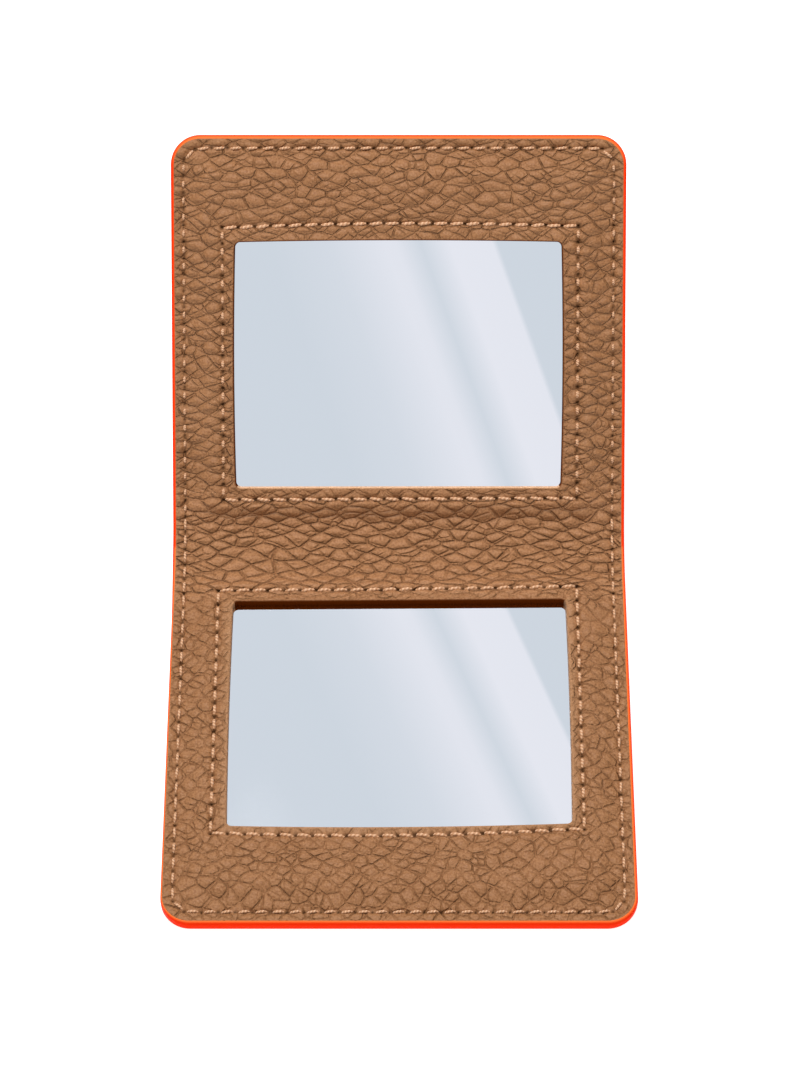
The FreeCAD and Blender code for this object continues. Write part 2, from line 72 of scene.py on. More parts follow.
# %% Camera
MM = 0.001
CAMERA_ELEVATION = math.radians(57.85)
CAMERA_DISTANCE = 611.0
LOOK_AT = Vector((0.24, 41.75, 0))
FOCAL_PIXELS = 3407.8
IMAGE_HEIGHT_PIXELS = 1067
SENSOR = 36.0

view_line = Vector((0, math.cos(CAMERA_ELEVATION), -math.sin(CAMERA_ELEVATION)))
camera_data = bpy.data.cameras.new("camera")
camera_data.sensor_width = SENSOR
camera_data.lens = FOCAL_PIXELS / IMAGE_HEIGHT_PIXELS * SENSOR
camera = bpy.data.objects.new("camera", camera_data)
camera.location = (LOOK_AT - view_line * CAMERA_DISTANCE) * MM
camera.rotation_euler = (math.pi / 2 - CAMERA_ELEVATION, 0, 0)
bpy.context.scene.collection.objects.link(camera)
bpy.context.scene.camera = camera
print(f"lens {camera_data.lens:.1f} mm, camera at", [round(v, 3) for v in camera.location])

# %% [markdown]
# ## Sizes from the frame
#
# Everything that the CAD model knows is read from it: the hinge line, the angle of the lid and the levels
# of the layers. All lengths below are in millimetres, as on a maker's drawing, and become metres when a
# mesh is made.

# %% Sizes
hinge = frame["record"]["behaviour"]["joints"][0]
HINGE_Y, HINGE_Z = (place / MM for place in hinge["pos_m"][1:])
RAISE = -math.radians(hinge["range_deg"][0])
cover_low, cover_high = (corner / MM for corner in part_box("base_outer_leather"))
HALF_WIDTH = cover_high.x
LENGTH = HINGE_Y - cover_low.y
COVER_TOP = cover_high.z
FACING_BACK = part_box("base_stiffener")[1].z / MM
EDGE_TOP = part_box("base_edge_paint")[1].z / MM
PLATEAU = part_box("base_inner_leather")[1].z / MM
# the glass is silvered on its back, so what it shows lies a little below its face
SILVER_DEPTH = 0.2
SILVER_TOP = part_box("base_mirror_glass")[1].z / MM - SILVER_DEPTH
CORNER = 4.8
SEAM_INSET = 1.8
STITCH_PITCH = 2.85
# two places that are nearer than this are the same place
SAME = 0.001
print(f"half {2 * HALF_WIDTH:.1f} x {LENGTH:.1f} mm, edge {EDGE_TOP:.2f} mm, frame {PLATEAU:.2f} mm thick")

# %% [markdown]
# ## Flat leather, bent into place
#
# A maker cuts leather flat and then folds it. The script does the same: each leather is modelled flat, with
# X across, Y along from the base's end to the lid's end and Z for the level, and one function bends it
# round the fold. The flat place of each point is kept on the mesh, so that the grain and the sewing follow
# the hide through the fold.

# %% Bending
def bend_of(node, level):
    """How a leather bends: where its bend begins, its centre's height and its length at a level."""
    reach = HINGE_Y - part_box(node)[0].y / MM
    centre_z = HINGE_Z + reach / math.tan(RAISE / 2)
    return {"reach": reach, "centre_z": centre_z, "half_arc": (centre_z - level) * RAISE / 2}


def turn_at(along, bend):
    """The angle that the leather has turned through at a flat place."""
    return (np.clip(along / bend["half_arc"], -1, 1) + 1) / 2 * RAISE


def fold_up(flat, bend):
    """Bend flat points to where they lie on the object at rest, in metres."""
    across, along, level = flat.T
    turn = turn_at(along, bend)
    over = along - np.clip(along, -bend["half_arc"], bend["half_arc"])
    drop = bend["centre_z"] - level
    y = HINGE_Y - bend["reach"] + drop * np.sin(turn) + over * np.cos(turn)
    z = bend["centre_z"] - drop * np.cos(turn) + over * np.sin(turn)
    return np.stack([across, y, z], axis=-1) * MM


def along_of(out, bend):
    """The flat place of a distance out from the hinge line, where less than 0 is on the base."""
    past = np.abs(out) - bend["reach"]
    on_arc = np.minimum(np.abs(out) / bend["reach"], 1) * bend["half_arc"]
    return np.sign(out) * (on_arc + np.maximum(past, 0))


def out_of(along, bend):
    """The distance out from the hinge line of a flat place."""
    past = np.abs(along) - bend["half_arc"]
    return np.minimum(np.abs(along) / bend["half_arc"], 1) * bend["reach"] + np.maximum(past, 0)


FACING_BEND = bend_of("fold_inner_leather", EDGE_TOP)
COVER_BEND = bend_of("fold_outer_leather", 0)
# the flat length of the cover, from the hinge line, that lies under the facing's bend
BACK_ARC = COVER_BEND["half_arc"] + FACING_BEND["reach"] - COVER_BEND["reach"]
FACING_END = float(along_of(LENGTH, FACING_BEND))
COVER_END = float(along_of(LENGTH, COVER_BEND))
print(f"cut lengths: facing {2 * FACING_END:.1f} mm, cover {2 * COVER_END:.1f} mm")

# %% [markdown]
# ## Rounded rectangles
#
# The hide, its seams and its windows are all rounded rectangles in the flat. A few small functions serve
# them all: how far a point lies from one, how a square grid closes up onto one's corners, and points along
# one.

# %% Rounded rectangles
def rectangle(left, right, low, high, radius):
    """A rounded rectangle from its four sides."""
    centre = np.array([left + right, low + high]) / 2
    return {"centre": centre, "half": np.array([right, high]) - centre, "radius": radius}


def inset(shape, depth):
    """A rounded rectangle that lies a depth inside another one."""
    return dict(shape, half=shape["half"] - depth, radius=shape["radius"] - depth)


def distance_to(points, shape):
    """How far points lie outside a rounded rectangle; less than 0 is inside."""
    gap = np.abs(points - shape["centre"]) - shape["half"] + shape["radius"]
    outside = np.linalg.norm(np.maximum(gap, 0), axis=1)
    return outside + np.minimum(gap.max(axis=1), 0) - shape["radius"]


def smooth(share):
    """A soft step from 0 to 1."""
    share = np.clip(share, 0, 1)
    return share * share * (3 - 2 * share)


def round_corners(points, shape, fade):
    """Move grid points near the corners of a rectangle onto arcs, less and less up to a distance."""
    gap = np.abs(points - shape["centre"]) - shape["half"]
    outer, inner = gap.max(axis=1), gap.min(axis=1)
    reach = shape["radius"] + outer
    near = (reach > 0) & (outer - inner < reach)
    turn = math.pi / 4 * (1 - (outer - inner) / np.where(near, reach, 1))
    arc = np.stack([np.cos(turn), np.sin(turn)], axis=1) * reach[:, None]
    arc = np.where((gap[:, 0] >= gap[:, 1])[:, None], arc, arc[:, ::-1])
    side = np.where(points < shape["centre"], -1, 1)
    rounded = shape["centre"] + side * (shape["half"] - shape["radius"] + arc)
    weight = np.where(near, smooth(1 - np.abs(outer) / fade), 0)
    return points + (rounded - points) * weight[:, None]


ARC_POINTS = 48


def points_round(shape, count):
    """Evenly spaced points round a rounded rectangle, clockwise from the middle of its left side."""
    inner = shape["half"] - shape["radius"]
    path = [[-shape["half"][0], 0]]
    for corner, start in (((-1, 1), 180), ((1, 1), 90), ((1, -1), 0), ((-1, -1), -90)):
        turn = np.radians(np.linspace(start, start - 90, ARC_POINTS))
        path += list(inner * corner + np.stack([np.cos(turn), np.sin(turn)], axis=1) * shape["radius"])
    path = np.array(path + path[:1]) + shape["centre"]
    lengths = np.concatenate([[0], np.cumsum(np.linalg.norm(np.diff(path, axis=0), axis=1))])
    places = np.arange(count) / count * lengths[-1]
    return np.stack([np.interp(places, lengths, path[:, i]) for i in (0, 1)], axis=1)


def outward_from(points, shape):
    """The outward direction at points on a rounded rectangle."""
    local = points - shape["centre"]
    inner = shape["half"] - shape["radius"]
    away = local - np.clip(local, -inner, inner)
    return away / np.linalg.norm(away, axis=1)[:, None]


# %% [markdown]
# ## The plan of the sewing
#
# Thread shows as a row of short bars between needle holes. The holes come first, as on the bench, because
# the leather dips at them: one round of holes near the edge of each leather, and four rows round each
# window. A stitch is an edge of the plan, from one hole to the next. Windows are cut and sewn by hand, so
# no side is quite straight or square. The plan stays straight, and one function adds that unevenness to
# leather and thread alike.

# %% Needle holes
SIDES = {"base": -1, "lid": 1}
WINDOW_CORNER = 0.9
# Where the windows are cut and sewn: left, right, and near and far as distances out from the hinge line
WINDOW_CUTS = {"base": (-29.1, 29.4, 10.7, 54.77), "lid": (-28.85, 28.75, 10.7, 54.05)}
WINDOW_ROWS = {"base": (-31.75, 31.4, 8.05, 56.0), "lid": (-31.05, 31.6, 8.65, 56.75)}
# How far a row or a cut swells by hand at its sides, near and far, and how much it leans (rise over run)
ROW_HAND = {"base": (0.0, -0.2, 0.8, 0.0135), "lid": (0.0, 0.0, 0.57, 0.005)}
CUT_HAND = {"base": (0.22, 0.0, 0.45, 0.008), "lid": (0.3, 0.0, 0.32, 0.001)}
# Where that begins, from outside, and where it is whole, as shares of the window
ROW_FADE = (1.35, 1.13)
CUT_FADE = (1.05, 1.01)


def half_rectangle(half, left, right, near, far, radius):
    """A rounded rectangle on one half of the flat facing."""
    ends = sorted(float(along_of(SIDES[half] * out, FACING_BEND)) for out in (near, far))
    return rectangle(left, right, *ends, radius)


windows = {half: half_rectangle(half, *cut, WINDOW_CORNER) for half, cut in WINDOW_CUTS.items()}
window_rows = {half: half_rectangle(half, *row, 0) for half, row in WINDOW_ROWS.items()}
facing_edge, cover_edge = (
    rectangle(-HALF_WIDTH, HALF_WIDTH, -end, end, CORNER) for end in (FACING_END, COVER_END)
)
facing_row, cover_row = (inset(edge, SEAM_INSET) for edge in (facing_edge, cover_edge))


def hand_cut(flat):
    """Flat points of the facing with the small unevenness of work by hand round each window."""
    moved = flat.copy()
    for half, shape in windows.items():
        local = flat[:, :2] - shape["centre"]
        share = np.clip(local / shape["half"], -1, 1)
        beyond = np.abs(local / shape["half"]).max(axis=1)
        in_rows, in_cut = (smooth((beyond - fade[0]) / (fade[1] - fade[0])) for fade in (ROW_FADE, CUT_FADE))
        row, cut = (np.array(hand[half]) for hand in (ROW_HAND, CUT_HAND))
        sides, near, far, lean = np.outer(row, in_rows) + np.outer(cut - row, in_cut)
        swell = np.column_stack([sides, np.where(share[:, 1] * SIDES[half] > 0, far, near)])
        moved[:, :2] += swell * share * (1 - share[:, ::-1] ** 2)
        moved[:, 1] += lean * local[:, 0]
    return moved


def holes_round(row):
    """The needle holes of a seam along a leather's edge, as a closed row."""
    around = 4 * row["half"].sum() - (8 - 2 * math.pi) * row["radius"]
    return points_round(row, 2 * round(around / STITCH_PITCH / 2))


def window_seam(row):
    """The needle holes of the four rows round a window."""
    corners = [row["centre"] + row["half"] * corner for corner in ((-1, -1), (-1, 1), (1, 1), (1, -1))]
    sides = []
    for start, end in zip(corners, corners[1:] + corners[:1]):
        count = round(np.linalg.norm(end - start) / STITCH_PITCH)
        sides.append(start + (end - start) * np.linspace(0, 1, count + 1)[:, None])
    return sides


facing_seam, cover_seam = holes_round(facing_row), holes_round(cover_row)
window_seams = {half: window_seam(row) for half, row in window_rows.items()}
window_count = sum(len(row) - 1 for row in window_seams["lid"])
print(len(facing_seam), "stitches along the edge,", window_count, "round a window")

# %% [markdown]
# ## Building a leather
#
# A leather is a fine grid with its lines close together where it rolls over an edge or dips at a seam. Grid
# squares inside a window are left out, and the rims that remain get a wall down to the leather's back. The
# back never shows, so it is filled with long strips. The result is one closed shell.

# %% Leather shells
GRID_SAMPLES = 20001
HOLE_BATCHES = 40


def grid_lines(stops, coarse, fine, spread):
    """Lines from the first stop to the last, fine near each stop and coarse away from them."""
    stops = np.unique(stops)
    places = np.linspace(stops[0], stops[-1], GRID_SAMPLES)
    gap = np.abs(places[:, None] - stops).min(axis=1)
    density = 1 / (fine + (coarse - fine) * np.clip(gap / spread, 0, 1))
    count = np.concatenate([[0], np.cumsum((density[1:] + density[:-1]) / 2 * np.diff(places))])
    lines = np.interp(np.linspace(0, count[-1], math.ceil(count[-1]) + 1), count, places)
    for stop in stops:
        lines[np.abs(lines - stop).argmin()] = stop
    return lines


def quads(grid):
    """Faces over a grid of point numbers."""
    faces = np.stack([grid[:-1, :-1], grid[:-1, 1:], grid[1:, 1:], grid[1:, :-1]], axis=-1)
    return faces.reshape(-1, 4)


def rim_edges(faces):
    """The edges that only one face uses, in that face's direction."""
    edges = np.concatenate([faces[:, [i, (i + 1) % 4]] for i in range(4)])
    size = int(faces.max()) + 1
    alone = ~np.isin(edges[:, 0] * size + edges[:, 1], edges[:, 1] * size + edges[:, 0])
    return edges[alone]


def add_wall(points, faces, rim, level):
    """Add a wall from a rim to a level, and return the new rim as well."""
    old = np.unique(rim)
    new = np.zeros(len(points), int)
    new[old] = np.arange(len(old)) + len(points)
    foot = points[old].copy()
    foot[:, 2] = level
    wall = np.stack([rim[:, 1], rim[:, 0], new[rim[:, 0]], new[rim[:, 1]]], axis=1)
    return np.vstack([points, foot]), np.vstack([faces, wall]), new[rim]


def near_holes(points, holes, width):
    """How much a point is in a needle hole, from 0 to 1."""
    share = np.zeros(len(points))
    for part in np.array_split(np.arange(len(points)), HOLE_BATCHES):
        gaps = np.linalg.norm(points[part][:, None] - holes, axis=2).min(axis=1)
        share[part] = np.exp(-((gaps / width) ** 2))
    return share


def rolled(depth, radius):
    """How far an edge that is rolled over to a radius has dropped, at a depth in from the edge."""
    short = np.clip(radius - depth, 0, radius)
    return radius - np.sqrt(radius**2 - short**2)


# the back is filled with strips up to this far from the hinge line
FOLD_STRIP = 9.0


def close_back(points, faces, rim):
    """Fill the open side: strips across the fold and flat fills beyond it."""
    on_side = np.unique(rim)
    on_side = on_side[np.abs(np.abs(points[on_side, 0]) - HALF_WIDTH) < SAME]
    on_side = on_side[np.abs(points[on_side, 1]) < FOLD_STRIP]
    left, right = (on_side[points[on_side, 0] * sign > 0] for sign in (-1, 1))
    left, right = (row[np.argsort(points[row, 1])] for row in (left, right))
    strips = np.stack([left[:-1], left[1:], right[1:], right[:-1]], axis=1)
    shell = bmesh.new()
    corners = [shell.verts.new(point) for point in points]
    for face in np.vstack([faces, strips]):
        shell.faces.new([corners[i] for i in face])
    for end in (-1, 1):
        cut = (left[0], right[0]) if end < 0 else (left[-1], right[-1])
        pairs = [pair for pair in rim if (points[pair, 1] * end).min() >= abs(points[cut[0], 1]) - SAME]
        edges = [shell.edges.get([corners[i] for i in pair]) for pair in pairs + [cut]]
        bmesh.ops.triangle_fill(shell, use_beauty=True, use_dissolve=False, edges=edges)
    bmesh.ops.recalc_face_normals(shell, faces=shell.faces)
    return shell


def new_object(name, mesh):
    """An object at the origin that shows a mesh."""
    made = bpy.data.objects.new(name, mesh)
    bpy.context.scene.collection.objects.link(made)
    return made


def add_values(mesh, name, values, domain="POINT"):
    """Keep one number or one vector for each point or edge of a mesh."""
    kind, field = ("FLOAT", "value") if values.ndim == 1 else ("FLOAT_VECTOR", "vector")
    mesh.attributes.new(name, kind, domain).data.foreach_set(field, values.astype(np.float32).ravel())


# %% [markdown]
# ## Grained calf leather
#
# The hide is drum-dyed calf, tumbled until its grain stands up in pebbles. The eye reads three things:
# creases that part the pebbles, the narrow rim beside a crease, and the soft crown of each pebble. Voronoi
# cells give all three, because creases on skin meet as cell walls do: the distance to a cell's wall makes
# creases and rims, and the distance to its middle makes crowns. Two turned nets lie over each other, so
# that finer lines cross some pebbles. The pebbles are rounder on the base and stretched across the fold and
# the lid. The same nodes raise the mesh in Geometry Nodes and shade it in the material, so both agree. One
# function adds every node, and short ones round it serve the kinds that come often.

# %% Node helpers and colours
def feed(tree, node, inputs):
    """Give a node its inputs: each is a value or the socket that feeds it."""
    for key, given in inputs.items():
        if isinstance(given, bpy.types.NodeSocket):
            tree.links.new(given, node.inputs[key])
        else:
            node.inputs[key].default_value = given


def add_node(tree, kind, inputs=None, **settings):
    """Add a node with its settings and inputs."""
    node = tree.nodes.new(kind)
    for name, setting in settings.items():
        setattr(node, name, setting)
    feed(tree, node, inputs or {})
    return node


def linear(hex_colour):
    """An sRGB hex colour as linear red, green, blue and alpha."""
    parts = [int(hex_colour[i : i + 2], 16) / 255 for i in (1, 3, 5)]
    return [p / 12.92 if p <= 0.04045 else ((p + 0.055) / 1.055) ** 2.4 for p in parts] + [1.0]


def new_material(name):
    """An empty node material, its tree and its shader."""
    material = bpy.data.materials.new(name)
    material.use_nodes = True
    tree = material.node_tree
    return material, tree, tree.nodes["Principled BSDF"]


def math_of(tree, operation, *given):
    """What an operation makes of numbers."""
    return add_node(tree, "ShaderNodeMath", dict(enumerate(given)), operation=operation).outputs[0]


def vector_of(tree, operation, *given):
    """What an operation makes of vectors."""
    return add_node(tree, "ShaderNodeVectorMath", dict(enumerate(given)), operation=operation).outputs[0]


def range_of(tree, given, start, end, low, high, way="LINEAR"):
    """Map a socket's range to another one."""
    inputs = {"Value": given, "From Min": start, "From Max": end, "To Min": low, "To Max": high}
    return add_node(tree, "ShaderNodeMapRange", inputs, interpolation_type=way).outputs[0]


def between(tree, share, first, second):
    """A number between two, by a share."""
    return add_node(tree, "ShaderNodeMix", {0: share, 2: first, 3: second}).outputs[0]


def mixed(tree, share, first, second):
    """A colour between two, by a share; each is a hex colour or a socket."""
    first, second = (linear(end) if isinstance(end, str) else end for end in (first, second))
    return add_node(tree, "ShaderNodeMix", {0: share, 6: first, 7: second}, data_type="RGBA").outputs[2]


def noise_of(tree, place, size, detail=2.0):
    """Cloudy noise, with clouds of a size in the unit of the place: its number and its colour."""
    inputs = {"Vector": place, "Scale": 1 / size, "Detail": detail}
    return add_node(tree, "ShaderNodeTexNoise", inputs).outputs


def object_place(tree):
    """A point's place on its object, in metres."""
    return add_node(tree, "ShaderNodeTexCoord").outputs["Object"]


def bump_of(tree, height, distance, strength=1.0, **below):
    """A direction that is bumped by a height, over another bumped direction if one is given."""
    inputs = {"Height": height, "Distance": distance, "Strength": strength, **below}
    return add_node(tree, "ShaderNodeBump", inputs).outputs[0]


def share_of(tree, name):
    """The number that a mesh keeps under a name, for its material."""
    return add_node(tree, "ShaderNodeAttribute", attribute_name=name).outputs["Fac"]


# %% Grain
# Two nets of creases on each part of the hide, the pebbles and the finer lines across them: mean size of a
# cell in millimetres, turn of the net in degrees, and how high its creases' floors lie (deepest, faintest)
NETS = {
    "base": (((2.65, 2.2), 45, (0.05, 0.55)), ((2.9, 2.5), 20, (0.2, 0.85))),
    "fold": (((3.7, 1.7), 45, (0.0, 0.25)), ((4.4, 2.5), 45, (0.3, 0.95))),
    "lid": (((3.35, 1.75), 45, (0.0, 0.5)), ((3.6, 2.4), 45, (0.25, 0.9))),
}
NET_SHIFT = 9.0
# How deep the grain is shaded and how wide its rims are, both in millimetres, and how much painted shade
# darkens its creases
DEPTHS = {"base": 0.67, "fold": 1.05, "lid": 0.95}
RIM_WIDTHS = {"base": 0.28, "fold": 0.32, "lid": 0.23}
CREASE_PAINTED_SHADE = {"base": 0.44, "fold": 0.4, "lid": 0.22}
CREASE_WIDTH = 0.15
# Where a pebble's crown ends, in cells, and what the second net's crowns and the rims add to the height
CROWN = 0.75
SECOND_CROWN = 0.3
RIM_PART = 0.4
# Where one part's nets give way to the next, along the hide from the hinge line
BASE_TO_FOLD = (-12.0, -8.0)
FOLD_TO_LID = (8.0, 12.0)
# How far the cells stray from an even pattern, how the nets drift, and in what patches their creases fade
RANDOMNESS = 0.6
DRIFT_LENGTH = 12.0
DRIFT = 3.5
PATCH_LENGTH = 4.0
PATCH_RANGE = (0.4, 0.6)


def cells(tree, place, size, turn, shift):
    """A net's cells: distance from the nearest wall, and from the middle, as shares of a cell."""
    scaled = vector_of(tree, "MULTIPLY_ADD", place, (1 / size[0], 1 / size[1], 0), (shift, 0, 0))
    inputs = {"Vector": scaled, "Angle": math.radians(turn)}
    turned = add_node(tree, "ShaderNodeVectorRotate", inputs, rotation_type="Z_AXIS").outputs[0]
    inputs = {"Vector": turned, "Scale": 1.0, "Randomness": RANDOMNESS}
    settings = {"voronoi_dimensions": "2D"}
    return [
        add_node(tree, "ShaderNodeTexVoronoi", inputs, feature=feature, **settings).outputs["Distance"]
        for feature in ("DISTANCE_TO_EDGE", "F1")
    ]


def part_grain(tree, place, patches, part):
    """One part's creases, its height with its rims and crowns, its depth and its painted crease shade."""
    creases, rims, crowns = [], [], []
    for i, (size, turn, floors) in enumerate(NETS[part]):
        wall, middle = cells(tree, place, size, turn, NET_SHIFT * i)
        floor = range_of(tree, patches[i], *PATCH_RANGE, *floors)
        for width, made in ((CREASE_WIDTH, creases), (RIM_WIDTHS[part], rims)):
            share = width / math.sqrt(size[0] * size[1])
            made.append(range_of(tree, wall, 0.0, share, floor, 1.0, "SMOOTHSTEP"))
        crowns.append(range_of(tree, middle, 0.0, CROWN, 1.0, 0.0, "SMOOTHSTEP"))
    crease, rim = (math_of(tree, "MULTIPLY", *pair) for pair in (creases, rims))
    height = between(tree, RIM_PART, between(tree, SECOND_CROWN, *crowns), rim)
    return crease, height, DEPTHS[part], CREASE_PAINTED_SHADE[part]


def grain(tree, hide):
    """The whole grain: creases and height from 0, deep, to 1, then depth, painted crease shade and where the
    fold is.
    """
    drift = noise_of(tree, hide, DRIFT_LENGTH)["Color"]
    place = vector_of(tree, "MULTIPLY_ADD", drift, (DRIFT, DRIFT, 0), hide)
    patch = noise_of(tree, hide, PATCH_LENGTH, 1.0)["Color"]
    patches = add_node(tree, "ShaderNodeSeparateXYZ", {0: patch}).outputs
    along = add_node(tree, "ShaderNodeSeparateXYZ", {0: hide}).outputs["Y"]
    into_fold, into_lid = (
        range_of(tree, along, *zone, 0.0, 1.0, "SMOOTHSTEP") for zone in (BASE_TO_FOLD, FOLD_TO_LID)
    )
    skin = part_grain(tree, place, patches, "base")
    for share, part in ((into_fold, "fold"), (into_lid, "lid")):
        after = part_grain(tree, place, patches, part)
        skin = [between(tree, share, *pair) for pair in zip(skin, after)]
    skin = dict(zip(("crease", "height", "depth", "tone"), skin))
    skin["fold"] = math_of(tree, "SUBTRACT", into_fold, into_lid)
    return skin


# %% [markdown]
# ## Colour and sheen of the hide
#
# The dye is never even: cloudy patches are paler and fine flecks are darker. The rest is painted light and
# shade: the fold is painted lighter to lift its shade, and the creases darker and the needle holes nearly
# black as shade. Round the windows the lips get painted shade on some sides and a painted highlight on
# others, with a wider pale band of painted light round the base's window. Each of these is one colour laid
# over the others by its own share. The finish is satin: a soft sheen on the crowns, less in the creases and
# none in holes and in the painted lip shade.

# %% Leather material
TAN = "#a3724a"
PALE_TAN = "#af7e56"
# painted light: the fold is laid lighter to lift the shade that falls on it
FOLD_PAINTED_LIGHT_TAN = "#b38057"
# the flecks' own darker dye, and the painted shade laid into the creases
FLECK_AND_CREASE_SHADE_TAN = "#6a360e"
# painted shade and painted highlight on the windows' lips
LIP_PAINTED_SHADE_BROWN = "#5c2604"
LIP_PAINTED_LIGHT_TAN = "#dcae84"
# painted shade: the needle holes are laid nearly black
HOLE_PAINTED_SHADE_BROWN = "#1e0a00"
BLOTCH_LENGTH = 14.0
FLECKS_PER_MM = 2.6
FLECK_RANGE = (0.4, 0.7)
FLECK_TONE = 0.45
PORES_PER_MM = 2.4
PORE_DEPTH = 0.22
LEATHER_ROUGHNESS = (0.72, 0.5)
LEATHER_SHEEN = 0.28


def make_leather():
    """Drum-dyed calf with a satin finish: matte in the creases and a soft sheen on the pebbles."""
    material, tree, shader = new_material("grained_calf_leather")
    hide = add_node(tree, "ShaderNodeAttribute", attribute_name="hide").outputs["Vector"]
    skin = grain(tree, hide)
    grained, painted_lip_shade, painted_lip_light, hole = (share_of(tree, name) for name in ("grain", "painted_lip_shade", "painted_lip_light", "hole"))
    blotch = noise_of(tree, hide, BLOTCH_LENGTH, 3.0)[0]
    fleck = range_of(tree, noise_of(tree, hide, 1 / FLECKS_PER_MM)[0], *FLECK_RANGE, 0.0, FLECK_TONE)
    # painted shade: the creases are laid darker in colour by this much
    dark = math_of(tree, "MULTIPLY", grained, skin["tone"])
    crease = range_of(tree, skin["crease"], 0.0, 1.0, dark, 0.0)
    colour = TAN
    shares = (blotch, skin["fold"], fleck, crease, painted_lip_shade, painted_lip_light, hole)
    tones = (PALE_TAN, FOLD_PAINTED_LIGHT_TAN, FLECK_AND_CREASE_SHADE_TAN, FLECK_AND_CREASE_SHADE_TAN, LIP_PAINTED_SHADE_BROWN, LIP_PAINTED_LIGHT_TAN, HOLE_PAINTED_SHADE_BROWN)
    for share, tone in zip(shares, tones):
        colour = mixed(tree, share, colour, tone)
    pored = bump_of(tree, noise_of(tree, hide, 1 / PORES_PER_MM)[0], PORE_DEPTH * MM)
    depth = math_of(tree, "MULTIPLY", range_of(tree, grained, 0.0, 1.0, 0.0, MM), skin["depth"])
    matte = math_of(tree, "MAXIMUM", painted_lip_shade, hole)
    looks = {
        "Base Color": colour,
        "Roughness": range_of(tree, skin["height"], 0.0, 1.0, *LEATHER_ROUGHNESS),
        "Specular IOR Level": range_of(tree, matte, 0.0, 1.0, LEATHER_SHEEN, 0.0),
        "Normal": bump_of(tree, skin["height"], depth, Normal=pored),
    }
    feed(tree, shader, looks)
    return material


leather = make_leather()
print("leather:", len(leather.node_tree.nodes), "nodes")

# %% Grain as relief
PEBBLE_HEIGHT = 0.12


def new_tree(name, inputs):
    """A geometry tree with named inputs after its geometry."""
    tree = bpy.data.node_groups.new(name, "GeometryNodeTree")
    tree.interface.new_socket("Geometry", in_out="INPUT", socket_type="NodeSocketGeometry")
    for label, kind in inputs.items():
        tree.interface.new_socket(label, in_out="INPUT", socket_type=kind)
    tree.interface.new_socket("Geometry", in_out="OUTPUT", socket_type="NodeSocketGeometry")
    return tree, add_node(tree, "NodeGroupInput").outputs


def kept(tree, name, kind="FLOAT"):
    """What a mesh keeps under a name, for a geometry tree."""
    inputs = {"Name": name}
    return add_node(tree, "GeometryNodeInputNamedAttribute", inputs, data_type=kind).outputs["Attribute"]


def end_tree(tree, shape, material):
    """Give a tree's shape its material and put it out."""
    dressed = add_node(tree, "GeometryNodeSetMaterial", {"Geometry": shape, "Material": material})
    add_node(tree, "NodeGroupOutput", {0: dressed.outputs[0]})


def run_tree(piece, tree, values):
    """Apply a tree to a piece with values for its named inputs, and keep the result as a plain mesh."""
    modifier = piece.modifiers.new(tree.name, "NODES")
    modifier.node_group = tree
    for item in tree.interface.items_tree:
        if item.in_out == "INPUT" and item.name in values:
            modifier[item.identifier] = values[item.name]
    graph = bpy.context.evaluated_depsgraph_get()
    result = piece.evaluated_get(graph)
    mesh = bpy.data.meshes.new_from_object(result, preserve_all_data_layers=True, depsgraph=graph)
    piece.modifiers.clear()
    piece.data = mesh


def make_relief_tree():
    """Lower the flat leather between its pebbles, along its level."""
    tree, given = new_tree("raise_grain", {"Depth": "NodeSocketFloat"})
    skin = grain(tree, kept(tree, "hide", "FLOAT_VECTOR"))
    low = math_of(tree, "SUBTRACT", skin["height"], 1.0)
    deep = math_of(tree, "MULTIPLY", low, given["Depth"])
    felt = math_of(tree, "MULTIPLY", deep, kept(tree, "grain"))
    offset = add_node(tree, "ShaderNodeCombineXYZ", {"Z": felt}).outputs[0]
    moved = add_node(tree, "GeometryNodeSetPosition", {"Geometry": given["Geometry"], "Offset": offset})
    end_tree(tree, moved.outputs[0], leather)
    return tree


relief_tree = make_relief_tree()
print("relief:", len(relief_tree.nodes), "nodes")

# %% [markdown]
# ## The facing
#
# The facing is one hide with two windows. It lies flat along its sewn edge, ramps up over the board to a
# raised frame round each mirror, and dips into the soft fold between the halves. It rolls over at its edge
# and at the windows' lips, and sinks a little along each seam, most at the needle holes.

# %% One leather
# how far round a window the grid closes up onto its corners, and the first step of a wall below its rim
CORNER_FADE = 1.5
WALL_STEP = 0.08
# how wide the painted shade, the painted highlight and the wider band of painted light reach from a
# window's lip, and how strong that band is
LIP_WIDTHS = {"painted_lip_shade": 0.3, "painted_lip_light": 0.13, "painted_light_band": 2.2}
LIP_BAND_PAINTED_LIGHT = 0.18


def lip_painted_light_and_shade(flat, cut_outs):
    """How much painted shade darkens the windows' lips, and how much painted highlight lightens them."""
    painted_lip_shade, painted_lip_light = np.zeros(len(flat)), np.zeros(len(flat))
    for half, shape in cut_outs.items():
        gap = distance_to(flat, shape)
        painted_shade_rim, painted_light_rim, painted_light_band = (smooth(1 - gap / width) * (gap < width) for width in LIP_WIDTHS.values())
        over = np.abs(flat - shape["centre"]) - shape["half"]
        near = (over[:, 1] > over[:, 0]) & ((flat[:, 1] - shape["centre"][1]) * SIDES[half] < 0)
        # the lid's lip: painted shade on three sides and a painted highlight on the side near the hinge; the
        # base's lip: painted shade near the hinge and a band of painted light on the other sides
        if half == "lid":
            painted_lip_shade += painted_shade_rim * ~near
            painted_lip_light += painted_light_rim * near
        else:
            painted_lip_shade += painted_shade_rim * near
            painted_lip_light += LIP_BAND_PAINTED_LIGHT * painted_light_band * ~near
    return painted_lip_shade, painted_lip_light


